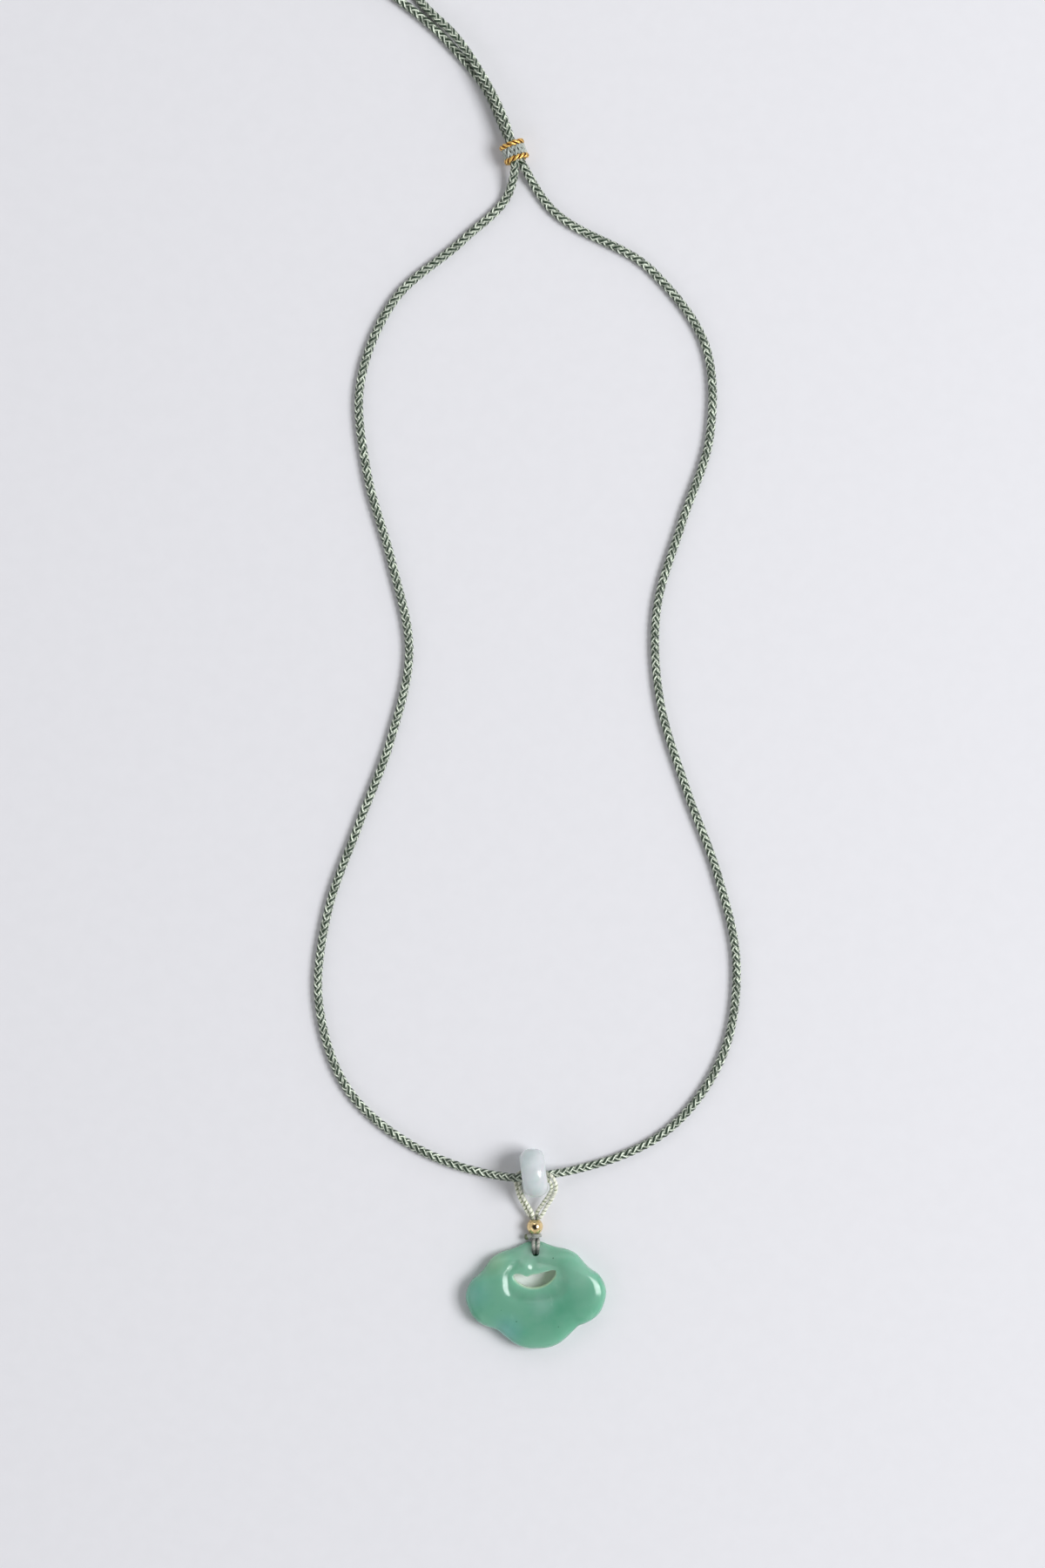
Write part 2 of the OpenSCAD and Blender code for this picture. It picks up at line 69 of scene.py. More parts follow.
# Middle line of the bail cord, as in the CAD source: the place that a run of points is measured
# from, then three numbers for each point and the thickness there as a share of the diameter.
BAIL_ROUTE = [
    ("hitch", (0.34, 0.12, 0.34, 0.62)),
    ("bead", (0.4, -0.5, 0.38, 0.72), (0.39, 0.5, 0.38, 0.74), (0.5, 0.95, 0.47, 0.8)),
    ("air", (1.18, -108, 2.95, 0.98), (2.45, -105.78, 3.7, 1), (3.88, -103.4, 4.55, 1)),
    (
        "ring", (1.59, -1.62, -0.04, 1), (1.56, -0.92, 0.22, 1), (1.34, -0.45, 0.32, 0.95),
        (1, -0.19, 0.23, 0.86), (0.6, 0.06, 0.2, 0.85), (0, 0.3, -0.19, 0.85),
        (-0.6, 0.09, -0.67, 0.85), (-1, -0.24, -0.75, 0.86), (-1.21, -0.6, -0.73, 0.95),
        (-1.23, -1.27, -0.67, 1),
    ),
    ("air", (-3.05, -102.96, 3.65, 1), (-1.85, -105.36, 3.1, 1), (-0.72, -107.66, 2.7, 0.98)),
    ("bead", (-0.5, 0.95, 0.47, 0.8), (-0.39, 0.5, 0.38, 0.74), (-0.4, -0.5, 0.38, 0.72)),
    ("hitch", (-0.33, 0.3, 0.35, 0.62), (-0.33, -0.3, 0.35, 0.62)),
    (
        "stone", (-0.22, 0, 2.12, 0.72), (-0.36, 0.74, 2.8, 0.9), (-0.39, 1.44, 3.26, 0.92),
        (-0.4, 2.3, 3.58, 0.92), (-0.42, 2.8, 3.34, 0.82), (-0.4, 3.07, 2.6, 0.77),
        (-0.4, 3.06, 1.5, 0.78), (-0.4, 2.75, 0.75, 0.78), (-0.4, 2, 0.48, 0.78),
        (-0.38, 0.9, 0.48, 0.78), (-0.15, 0, 0.8, 0.66),
    ),
    ("hitch", (-0.33, -0.3, -0.34, 0.62), (-0.33, 0.3, -0.31, 0.62)),
    ("bead", (-0.4, -0.5, -0.36, 0.72), (-0.39, 0.5, -0.38, 0.74), (-0.54, 0.95, -0.36, 0.8)),
    ("air", (-1.37, -107.94, 1.75, 0.98), (-2.58, -105.64, 2.3, 1), (-3.78, -103.24, 2.88, 1)),
    (
        "ring", (-1.52, -1.27, -0.97, 1), (-1.53, -0.54, -1, 1), (-1.38, -0.1, -0.9, 0.95),
        (-1, 0.2, -0.65, 0.86), (-0.6, 0.36, -0.28, 0.85), (0, 0.18, 0.25, 0.85),
        (0.6, -0.37, 0.35, 0.85), (1, -0.67, 0.18, 0.86), (1.19, -0.98, 0.09, 0.96),
        (1.23, -1.62, -0.25, 1),
    ),
    ("air", (3.05, -102.92, 4.15, 1), (1.52, -105.26, 3.08, 1), (0.27, -107.56, 2, 0.98)),
    ("bead", (0.42, 0.95, -0.36, 0.8), (0.39, 0.5, -0.38, 0.74), (0.4, -0.5, -0.36, 0.72)),
    ("hitch", (0.33, 0.3, -0.31, 0.62), (0.33, -0.3, -0.34, 0.62)),
    (
        "stone", (0.63, 0, 0.83, 0.66), (0.45, 0.9, 0.48, 0.78), (0.42, 2, 0.48, 0.78),
        (0.42, 2.75, 0.75, 0.78), (0.41, 3.06, 1.5, 0.78), (0.41, 3.07, 2.6, 0.77),
        (0.44, 2.8, 3.36, 0.82), (0.52, 2.3, 3.6, 0.9), (0.66, 1.44, 3.26, 0.92),
        (0.74, 0.74, 2.8, 0.9), (0.72, 0, 2.12, 0.72),
    ),
    ("hitch", (0.33, -0.3, 0.35, 0.62), (0.34, -0.06, 0.34, 0.62)),
]

# Right half of the pendant's outline, as in the CAD source: degrees from its top, and the share
# of the half width and half height that it reaches there
OUTLINE = [
    (0, 0.965), (7, 0.95), (14, 0.91), (21, 0.9), (30, 0.92), (40, 0.923), (49, 0.895),
    (57, 0.884), (64, 0.905), (70, 0.947), (77, 0.974), (90, 1), (104, 0.988), (114, 0.976),
    (123, 0.94), (131, 0.887), (136, 0.853), (143, 0.864), (152, 0.905), (162, 0.967),
    (171, 1), (180, 1),
]

# Dark specks inside the pendant: x, y and radius in millimetres
SPECKS = ((4.0, -117.4, 0.2), (-4.4, -131.8, 0.18), (5.2, -133.0, 0.15), (-7.9, -129.2, 0.11))
SPECK_COLOUR = (0.01, 0.05, 0.03)

# Where the bail turns grey under the hitch, and where it is darkened towards the hole as painted
# shade of the strands going down into it: from one place along Y to another, in millimetres, then
# strength and colour
BAIL_GREY_AND_HOLE_SHADE = (
    (-112.4, -113.4, 0.6, (0.30, 0.31, 0.31)),
    (-114.5, -116.0, 0.93, (0.02, 0.05, 0.035)),
)

# Soft patches in the pendant's colour: the two bluish ones on the left and lower left rim are
# painted reflections, the others make the stone paler in places. x, y and radius in millimetres,
# strength and colour
PATCHES_AND_REFLECTIONS = (
    (0.0, -117.0, 16.0, 0.6, (0.31, 0.51, 0.40)),
    (-9.5, -118.0, 5.0, 0.45, (0.40, 0.57, 0.39)),
    (-14.0, -125.5, 5.5, 0.5, (0.25, 0.48, 0.45)),
    (-6.5, -134.0, 5.5, 0.6, (0.19, 0.43, 0.42)),
    (10.5, -120.5, 5.5, 0.5, (0.34, 0.55, 0.45)),
    (1.5, -128.3, 4.5, 0.5, (0.32, 0.52, 0.45)),
)

# Places and turns of the pieces, in millimetres and degrees, as in the CAD source
KNOT_AT = np.array((-4.9, 135.7, 3))
KNOT_TURN = 20
RING_AT = np.array((-0.4, -97.8, 5.6))
RING_TURN = 7.8
BEAD_AT = np.array((-0.16, -110.4, 1.9))
HITCH_AT = np.array((0.1, -112.5, 1.55))
HITCH_END_AT = np.array((-1.94, -112.75, 1.55))
PENDANT_TOP = np.array((-0.445, -113.31, 0))
PENDANT_TURN = 2.5
# Cord hole of the pendant: how far it is to the right of the stone's top, and down from it
HOLE_X, HOLE_DOWN = 0.3, 2.95
# Tail knots: node, end of the cord's route and turn, then the height of their middle
TAIL_KNOTS = (("tail_knot_a", CORD_ROUTE[-1], 51), ("tail_knot_b", CORD_ROUTE[0], 35))
TAIL_KNOT_Z = 2.5


# Lines through points

def unit(v):
    return v / np.linalg.norm(v, axis=-1, keepdims=True)


def turned(p, angle):
    """p, turned about Z by an angle in degrees."""
    p = np.asarray(p, float)
    c, s = cos(radians(angle)), sin(radians(angle))
    return np.stack(
        [p[..., 0] * c - p[..., 1] * s, p[..., 0] * s + p[..., 1] * c, p[..., 2]], -1
    )


def smoothstep(low, high, v):
    t = np.clip((v - low) / (high - low), 0, 1)
    return t * t * (3 - 2 * t)


def hermite(s):
    """Shares of a Hermite span at s: its two ends and its two slopes."""
    return 2 * s**3 - 3 * s**2 + 1, s**3 - 2 * s**2 + s, 3 * s**2 - 2 * s**3, s**3 - s**2


def smooth_line(points, step):
    """A smooth line through the points, with a new point about every step."""
    p = np.array(points, float)
    span = np.linalg.norm(np.diff(p, axis=0), axis=1)[:, None]
    heading = np.diff(p, axis=0) / span
    slope = np.vstack(
        [
            heading[:1],
            (heading[:-1] * span[1:] + heading[1:] * span[:-1]) / (span[:-1] + span[1:]),
            heading[-1:],
        ]
    )
    rows = []
    for i in range(len(p) - 1):
        count = max(1, ceil(span[i, 0] / step))
        a, b, c, d = hermite(np.arange(count)[:, None] / count)
        rows.append(
            a * p[i] + b * span[i] * slope[i] + c * p[i + 1] + d * span[i] * slope[i + 1]
        )
    return np.vstack([*rows, p[-1:]])


def lengths(line):
    """How far along the line each of its points is."""
    steps = np.linalg.norm(np.diff(line[:, :3], axis=0), axis=1)
    return np.concatenate([[0], np.cumsum(steps)])


def even_line(line, step):
    """The same line with its points evenly spaced."""
    at = lengths(line)
    count = max(2, round(at[-1] / step) + 1)
    even = np.linspace(0, at[-1], count)
    return np.stack([np.interp(even, at, column) for column in line.T], -1)


def frames_of(line, closed=False):
    """Directions of a line: along it, and two sides that turn as little as they can."""
    p = line[:, :3]
    if closed:
        along = unit(np.roll(p, -1, 0) - np.roll(p, 1, 0))
    else:
        along = unit(np.gradient(p, axis=0))
    side = np.zeros_like(p)
    s = np.array((1.0, 0, 0)) if abs(along[0, 0]) < 0.9 else np.array((0, 0, 1.0))
    for i, t in enumerate(along):
        s = unit(s - (s @ t) * t)
        side[i] = s
    return along, side, np.cross(along, side)


# Meshes

def new_object(name, data):
    """A new object in the scene."""
    made = bpy.data.objects.new(name, data)
    bpy.context.scene.collection.objects.link(made)
    return made


def grid_faces(rings, sides, closed):
    """Quads of a tube of rings, and the place round and along it of each of their corners."""
    i, k = np.meshgrid(np.arange(rings if closed else rings - 1), np.arange(sides), indexing="ij")
    i, k = i.ravel(), k.ravel()
    j, m = (i + 1) % rings, (k + 1) % sides
    faces = np.stack([i * sides + k, i * sides + m, j * sides + m, j * sides + k], -1)
    across = np.stack([k, k + 1, k + 1, k], -1) / sides
    row = np.stack([i, i, i + 1, i + 1], -1)
    return faces, across, row


class Shell:
    """Gathers the tubes of one piece and makes its mesh."""

    def __init__(self):
        self.points, self.faces, self.uv, self.rise, self.tone = [], [], [], [], []
        self.count = 0

    def tube(self, rings, along=None, rise=1.0, tone=0.0, closed=False):
        """Adds a tube, which has flat ends or is closed to a round. rings is an array of rings of
        points, and along the place of each ring. The materials read along, rise and tone."""
        m, n = rings.shape[:2]
        along = np.arange(float(m)) if along is None else along
        faces, across, row = grid_faces(m, n, closed)
        place = np.append(along, along[-1] + (along[1] - along[0]))
        self.points.append(rings.reshape(-1, 3))
        self.uv.append(np.stack([across, place[row]], -1).reshape(-1, 2))
        self.faces += (faces + self.count).tolist()
        self.rise.append(np.broadcast_to(rise, (m, n)).ravel())
        self.tone.append(np.full(m * n, tone))
        if not closed:
            crown = 0.25  # Place round a thread that is midway between its bright edges
            for ring, at in ((range(n - 1, -1, -1), 0), (range(n), m - 1)):
                self.faces.append([self.count + at * n + k for k in ring])
                self.uv.append(np.full((n, 2), (crown, place[at])))
        self.count += m * n

    def piece(self, name, material, slot, *nodes):
        """Makes the object, in metres, riding on the necklace and standing for the CAD nodes."""
        mesh = bpy.data.meshes.new(name)
        mesh.from_pydata((np.vstack(self.points) * MM).tolist(), [], self.faces)
        mesh.polygons.foreach_set("use_smooth", [True] * len(mesh.polygons))
        uv = mesh.uv_layers.new(name="thread")
        uv.data.foreach_set("uv", np.vstack(self.uv).astype(np.float32).ravel())
        for word, values in (("rise", self.rise), ("tone", self.tone)):
            attribute = mesh.attributes.new(word, "FLOAT", "POINT")
            attribute.data.foreach_set("value", np.concatenate(values).astype(np.float32))
        mesh.update()
        mesh.materials.append(material)
        piece = new_object(name, mesh)
        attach(piece, "root")
        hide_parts(*nodes)
        return piece


def thread_rings(line, across, up, half_width, half_height, sides):
    """Rings of an oval thread along a line, wide in one direction and thin in the other."""
    angle = 2 * pi * np.arange(sides) / sides
    half_width = np.broadcast_to(half_width, len(line))[:, None, None]
    half_height = np.broadcast_to(half_height, len(line))[:, None, None]
    return (
        line[:, None, :3]
        + half_width * np.cos(angle)[None, :, None] * across[:, None, :]
        + half_height * np.sin(angle)[None, :, None] * up[:, None, :]
    )


def lay_thread(shell, line, frames, turn, radius, half_width, half_height, sides, **more):
    """A thread that winds round a line at the given turns and radii, flat side out."""
    _, side, up = frames
    out = np.cos(turn)[:, None] * side + np.sin(turn)[:, None] * up
    path = line[:, :3] + np.broadcast_to(radius, len(line))[:, None] * out
    if more.get("closed"):
        along = unit(np.roll(path, -1, 0) - np.roll(path, 1, 0))
    else:
        along = unit(np.gradient(path, axis=0))
    facing = unit(out - np.sum(out * along, 1, keepdims=True) * along)
    across = np.cross(facing, along)
    rings = thread_rings(path, across, facing, half_width, half_height, sides)
    height = np.linalg.norm(rings - line[:, None, :3], axis=2)
    shell.tube(rings, lengths(path), rise=height / height.max(), **more)


def braid(shell, line, carriers, lead, middle, wave, half_width, half_height, sides, turn=0.0):
    """A round braid along an evenly spaced line. That many threads wind each way round it, and
    each goes over two of the others and then under two."""
    frames, s = frames_of(line), lengths(line)
    crossing = 2 * carriers * s / lead  # Threads of the other way that each has crossed by s
    for way in (1, -1):
        for k in range(carriers):
            angle = turn + 2 * pi * (way * s / lead + k / carriers)
            start = crossing + 2 * k - 0.5 if way > 0 else 2 * k - crossing - 2.5
            over = np.cos(pi / 2 * start)
            over = over * (1.45 - 0.45 * over**2)  # The thread lies level where it is up or down
            lay_thread(
                shell, line, frames, angle, middle + wave * over, half_width, half_height,
                sides, tone=(k + (way < 0) * 0.5) / carriers,
            )


# Plies of a twisted cord, as shares of half its thickness: radius that they wind at, half width
# and half height
PLY_RADIUS, PLY_HALF_WIDTH, PLY_HALF_HEIGHT = 0.5, 0.56, 0.5


def plied(shell, line, plies, sides, lead=None, turns=None):
    """A twisted cord along a line whose fourth column is its thickness. Its plies go round once
    in each lead. With turns instead, the cord is closed and they go round that often in all."""
    closed = turns is not None
    if closed:
        angle = 2 * pi * turns * np.arange(len(line)) / len(line)
    else:
        angle = 2 * pi * lengths(line) / lead
    frames, half = frames_of(line, closed), line[:, 3] / 2
    for k in range(plies):
        lay_thread(
            shell, line, frames, angle + 2 * pi * k / plies, PLY_RADIUS * half,
            PLY_HALF_WIDTH * half, PLY_HALF_HEIGHT * half, sides, tone=k / plies, closed=closed,
        )


def thick_line(line, thickness):
    """The line with a fourth column, its thickness."""
    return np.hstack([line, np.full((len(line), 1), thickness)])


def lathe(profile, steps):
    """Rings of a turned shape about Z, from rows of radius and height."""
    angle = -2 * pi * np.arange(steps) / steps
    r, z = np.array(profile, float).T
    return np.stack(
        [
            r[None, :] * np.cos(angle)[:, None],
            r[None, :] * np.sin(angle)[:, None],
            np.broadcast_to(z, (steps, len(z))),
        ],
        -1,
    )


def laid(points):
    """Points of a turned shape, with its axis laid along Y."""
    return points[..., (0, 2, 1)] * np.array((-1, 1, 1))


def corner(x, y, r, start, count=9):
    """Points round a corner of a section, a quarter turn from start degrees."""
    angle = np.radians(start + 90 * np.arange(count) / (count - 1))
    return [(x + r * cos(a), y + r * sin(a)) for a in angle]


def collar(inner, outer, length, edge):
    """Section of a collar with rounded edges: radius and height, from its lower outer edge."""
    side = length / 2 - edge
    return [
        *corner(outer - edge, -side, edge, -90),
        *corner(outer - edge, side, edge, 0),
        *corner(inner + edge, side, edge, 90),
        *corner(inner + edge, -side, edge, 180),
    ]


# Materials

def node(tree, kind, inputs=None, **settings):
    """Adds a shader node: its settings, then its inputs, each a value or a socket to link."""
    made = tree.nodes.new("ShaderNode" + kind)
    for word, value in settings.items():
        setattr(made, word, value)
    for key, value in (inputs or {}).items():
        if isinstance(value, bpy.types.NodeSocket):
            tree.links.new(value, made.inputs[key])
        else:
            made.inputs[key].default_value = value
    return made


def maths(tree, operation, *values):
    return node(tree, "Math", dict(enumerate(values)), operation=operation).outputs[0]


def blend(tree, share, a, b):
    """Colour a turning into colour b as share goes from 0 to 1."""
    mix = node(tree, "Mix", {0: share, 6: a, 7: b}, data_type="RGBA", blend_type="MIX")
    return mix.outputs[2]


def between(tree, value, low, high, start=0.0, end=1.0):
    """value, eased from low to high into start to end."""
    ranged = node(
        tree, "MapRange", {0: value, 1: low, 2: high, 3: start, 4: end},
        interpolation_type="SMOOTHSTEP",
    )
    return ranged.outputs[0]


def mottle(tree, scale, detail=3.0, roughness=0.55, stretch=None):
    """Noise in the object's own space; scale is in blobs a metre."""
    where = node(tree, "TexCoord").outputs["Object"]
    if stretch:
        where = node(tree, "Mapping", {"Vector": where, "Scale": stretch}).outputs[0]
    noise = node(
        tree, "TexNoise",
        {"Vector": where, "Scale": scale, "Detail": detail, "Roughness": roughness},
    )
    return noise.outputs[0]


def new_material(name, **plain):
    """A material with one Principled shader; its plain values go on the shader's own sockets."""
    material = bpy.data.materials.new(name)
    material.use_nodes = True
    tree = material.node_tree
    tree.nodes.clear()
    shader = node(tree, "BsdfPrincipled")
    for word, value in plain.items():
        shader.inputs[word.replace("_", " ")].default_value = value
    output = node(tree, "OutputMaterial")
    tree.links.new(shader.outputs[0], output.inputs[0])
    return material, tree, shader


def rgba(colour):
    return (*colour, 1.0)


def give_surface(tree, shader, colour, roughness, grain, strength, depth):
    """Gives a shader its colour, its roughness and a grain's bumps, depth millimetres deep."""
    tree.links.new(colour, shader.inputs["Base Color"])
    tree.links.new(roughness, shader.inputs["Roughness"])
    bump = node(tree, "Bump", {"Strength": strength, "Distance": depth * MM, "Height": grain})
    tree.links.new(bump.outputs[0], shader.inputs["Normal"])


def thread_material(
    name, deep, body, bright, filaments, slant, edge, roughness=0.42, sheen=0.35, ends=(),
    groove=(0.5, 0.88), first=None,
):
    """Twisted glossy filaments, with painted shade and painted glints: the deep colour is painted
    shade in the gaps where a thread lies low, and the bright colour along the two edges of each
    thread is partly pale filaments and partly painted glints. Each row of ends gives the places
    along Y between which the colour turns to another, and groove the shares of a thread's reach
    between which the painted dark gap ends. The first thread may have a colour of its own, which
    comes and goes along it."""
    material, tree, shader = new_material(
        name, Sheen_Weight=sheen, Sheen_Roughness=0.4, Specular_IOR_Level=0.6, IOR=1.5
    )
    uv = node(tree, "UVMap", uv_map="thread").outputs[0]
    split = node(tree, "SeparateXYZ", {0: uv})
    around, along = split.outputs["X"], split.outputs["Y"]
    rise = node(tree, "Attribute", attribute_name="rise").outputs["Fac"]
    tone = node(tree, "Attribute", attribute_name="tone").outputs["Fac"]
    height = between(tree, rise, *groove)
    across = maths(tree, "COSINE", maths(tree, "MULTIPLY", around, 2 * pi))
    across = maths(tree, "ABSOLUTE", across)
    patch = mottle(tree, scale=900, detail=2.0)
    # Painted glints, partly pale filaments: a thread's two edges turn to the bright colour, on its
    # raised part only, in patches
    rim = maths(tree, "MULTIPLY", between(tree, across, edge, edge + 0.3), height)
    rim = maths(tree, "MULTIPLY", rim, between(tree, patch, 0.3, 0.62, 0.35, 1.0))
    body = rgba(body)
    if first:
        own = between(tree, tone, 0.0, 0.3, 1.0, 0.0)
        own = maths(tree, "MULTIPLY", own, between(tree, patch, 0.38, 0.6, 0.15, 1.0))
        body = blend(tree, own, body, rgba(first))
    # Painted shade: the colour darkens to deep in the gaps, where a thread lies low
    colour = blend(tree, height, rgba(deep), body)
    colour = blend(tree, rim, colour, rgba(bright))
    # Colour bands along Y; on the bail, grey under the hitch and painted shade towards the hole
    for start, stop, share, tint in ends:
        spot = node(tree, "SeparateXYZ", {0: node(tree, "TexCoord").outputs["Object"]})
        near = between(tree, spot.outputs["Y"], start * MM, stop * MM, 0.0, share)
        colour = blend(tree, near, colour, rgba(tint))
    turns = maths(tree, "MULTIPLY_ADD", along, slant, maths(tree, "MULTIPLY", around, filaments))
    strand = maths(tree, "SINE", maths(tree, "MULTIPLY", turns, 2 * pi))
    fleck = between(tree, strand, -1.0, 1.0, 0.82, 1.12)
    wobble = maths(tree, "ADD", patch, maths(tree, "MULTIPLY", tone, 0.12))
    wobble = between(tree, wobble, 0.3, 0.8, 0.85, 1.12)
    value = maths(tree, "MULTIPLY", fleck, wobble)
    shade = node(tree, "HueSaturation", {"Value": value, "Color": colour}).outputs[0]
    rough = between(tree, patch, 0.2, 0.8, roughness - 0.06, roughness + 0.1)
    give_surface(tree, shader, shade, rough, strand, strength=0.45, depth=0.03)
    return material


def gold_thread_material(name, gold, shadow_and_wear):
    """Metal foil wound round a thread: fine turns across it and a warm glint."""
    material, tree, shader = new_material(name, Metallic=1.0, Specular_IOR_Level=0.5)
    uv = node(tree, "UVMap", uv_map="thread").outputs[0]
    split = node(tree, "SeparateXYZ", {0: uv})
    around, along = split.outputs["X"], split.outputs["Y"]
    rise = node(tree, "Attribute", attribute_name="rise").outputs["Fac"]
    patch = mottle(tree, scale=1800, detail=2.0)
    turns = maths(tree, "MULTIPLY_ADD", along, 8.0, maths(tree, "MULTIPLY", around, 2.0))
    strip = maths(tree, "SINE", maths(tree, "MULTIPLY", turns, 2 * pi))
    height, worn = between(tree, rise, 0.72, 0.95), between(tree, patch, 0.25, 0.55, 0.6, 1.0)
    # Painted shadow: the colour turns dark low between the turns, and worn patches pull the crests
    # partly towards it
    colour = blend(tree, maths(tree, "MULTIPLY", height, worn), rgba(shadow_and_wear), rgba(gold))
    rough = between(tree, patch, 0.3, 0.7, 0.24, 0.42)
    give_surface(tree, shader, colour, rough, strip, strength=0.5, depth=0.015)
    return material


def gold_metal_material(name, gold):
    """Polished gilt metal with faint wear."""
    material, tree, shader = new_material(name, Metallic=1.0)
    worn = mottle(tree, scale=700, detail=4.0)
    dark = tuple(0.72 * c for c in gold)
    colour = blend(tree, between(tree, worn, 0.35, 0.6), rgba(dark), rgba(gold))
    rough = between(tree, worn, 0.3, 0.7, 0.09, 0.18)
    scratch = mottle(tree, scale=2600, detail=3.0, stretch=(1, 0.25, 1))
    give_surface(tree, shader, colour, rough, scratch, strength=0.12, depth=0.02)
    return material


def distance_from(tree, x, y):
    """Distance of the shaded point from a point of the stone's plan, given in millimetres."""
    where = node(tree, "TexCoord").outputs["Object"]
    flat = node(tree, "VectorMath", {0: where, 1: (1, 1, 0)}, operation="MULTIPLY").outputs[0]
    return node(
        tree, "VectorMath", {0: flat, 1: (x * MM, y * MM, 0)}, operation="DISTANCE"
    ).outputs["Value"]


def jade_material(
    name, body, cloud, vein, depth, cloud_scale, patches=(), specks=(), thin=None, **plain
):
    """Waxy, see-into stone: clouds and veins in its body under a hard polish. Where the rise
    attribute is high, painted light stands in for light coming through: the colour turns to thin,
    and the stone glows faintly with it."""
    material, tree, shader = new_material(
        name, Subsurface_Weight=1.0, Subsurface_Radius=(0.7, 1.0, 0.85), Subsurface_Scale=depth,
        IOR=1.6, Coat_Weight=0.0, Specular_IOR_Level=0.42, **plain
    )
    vein_scale = 2.6 * cloud_scale
    clouds = mottle(tree, cloud_scale, detail=3.0, roughness=0.5)
    veins = mottle(tree, vein_scale, detail=5.0, roughness=0.65, stretch=(1, 0.5, 1))
    colour = blend(tree, between(tree, clouds, 0.36, 0.64), rgba(body), rgba(cloud))
    colour = blend(tree, between(tree, veins, 0.58, 0.78, 0.0, 0.5), colour, rgba(vein))
    # Soft patches: the bluish ones on the left and lower left rim are painted reflections
    for x, y, radius, share, tint in patches:
        near = between(tree, distance_from(tree, x, y), radius * MM, 0.0, 0.0, share)
        colour = blend(tree, near, colour, rgba(tint))
    for x, y, radius in specks:
        away = distance_from(tree, x, y)
        near = between(tree, away, radius * MM, 0.4 * radius * MM, 0.0, 0.75)
        colour = blend(tree, near, colour, rgba(SPECK_COLOUR))
    # Painted light through the stone: a paler tint and a faint glow where rise is high
    if thin:
        rise = node(tree, "Attribute", attribute_name="rise").outputs["Fac"]
        colour = blend(tree, between(tree, rise, 0.0, 1.0, 0.0, 0.9), colour, rgba(thin))
        shader.inputs["Emission Color"].default_value = rgba(thin)
        glow = between(tree, rise, 0.6, 1.0, 0.0, 0.13)
        tree.links.new(glow, shader.inputs["Emission Strength"])
    polish = mottle(tree, scale=520, detail=3.0)
    rough = between(tree, polish, 0.3, 0.7, 0.08, 0.2)
    give_surface(tree, shader, colour, rough, polish, strength=0.6, depth=0.02)
    return material


def floor_material(name, colour):
    """Smooth pale paper."""
    material, tree, shader = new_material(name, Specular_IOR_Level=0.2)
    grain = mottle(tree, scale=240, detail=5.0, roughness=0.6)
    worn = tuple(0.985 * c for c in colour)
    base = blend(tree, between(tree, grain, 0.3, 0.7), rgba(worn), rgba(colour))
    rough = between(tree, grain, 0.2, 0.8, 0.6, 0.75)
    give_surface(tree, shader, base, rough, grain, strength=0.05, depth=0.2)
    return material


# Sizes and colours that a user would change

def size_prop(name, description, default, low, high):
    return FloatProperty(
        name=name, description=description, default=default * MM, min=low * MM, max=high * MM,
        precision=5, step=0.01, subtype="DISTANCE", unit="LENGTH",
    )


def colour_prop(name, description, default):
    return FloatVectorProperty(
        name=name, description=description, default=default, size=3, min=0, max=1,
        subtype="COLOR",
    )


class StageSettings(PropertyGroup):
    floor_colour: colour_prop("Floor", "Colour of the floor", (0.81, 0.805, 0.838))
    camera_height: FloatProperty(
        name="Camera height", description="Height of the camera over the floor", default=1.0,
        min=0.5, max=3, subtype="DISTANCE", unit="LENGTH",
    )
    window_power: FloatProperty(
        name="Window", description="Power of the window light on the right", default=38.0,
        min=0, max=200, subtype="POWER", unit="POWER",
    )
    room_light: FloatProperty(
        name="Room light", description="Strength of the light from all round", default=0.64,
        min=0, max=3,
    )


class CordSettings(PropertyGroup):
    diameter: size_prop("Diameter", "Thickness of the braided cord", 2.1, 1, 4)
    lead: size_prop("Lead", "Length of cord in which a thread goes once round", 7.0, 4, 14)
    yarn_width: size_prop("Thread width", "Width of one thread of the braid", 0.98, 0.4, 2)
    yarn_height: size_prop("Thread height", "Height of one thread of the braid", 0.5, 0.2, 1)
    # deep: painted shade, the colour in the gaps between the threads
    deep: colour_prop("Gaps", "Colour deep between the threads", (0.003, 0.006, 0.004))
    body: colour_prop("Threads", "Colour of the threads", (0.017, 0.043, 0.018))
    # bright: a thread's pale edges, partly pale filaments and partly painted glints
    bright: colour_prop("Edges", "Colour of the silvery edges of a thread", (0.90, 0.98, 0.83))


class KnotSettings(PropertyGroup):
    wrap_diameter: size_prop("Wrap diameter", "Diameter of the knot's grey wrapping", 5.7, 4, 8)
    wrap_length: size_prop("Wrap length", "Length of the grey wrapping", 2.0, 1, 4)
    row_length: size_prop("Gold row", "Length of a gold row along the knot", 1.25, 0.6, 2)
    # deep: painted shade, the colour in the gaps between the wrapping threads
    deep: colour_prop("Gaps", "Colour deep between the wrapping threads", (0.004, 0.009, 0.006))
    body: colour_prop("Wrapping", "Colour of the wrapping threads", (0.32, 0.36, 0.33))
    # bright: the wrapping threads' pale edges, partly pale filaments and partly painted glints
    bright: colour_prop("Wrapping edges", "Colour of their bright edges", (0.82, 0.86, 0.80))
    gold: colour_prop("Gold thread", "Colour of the gold thread", (1.0, 0.66, 0.20))


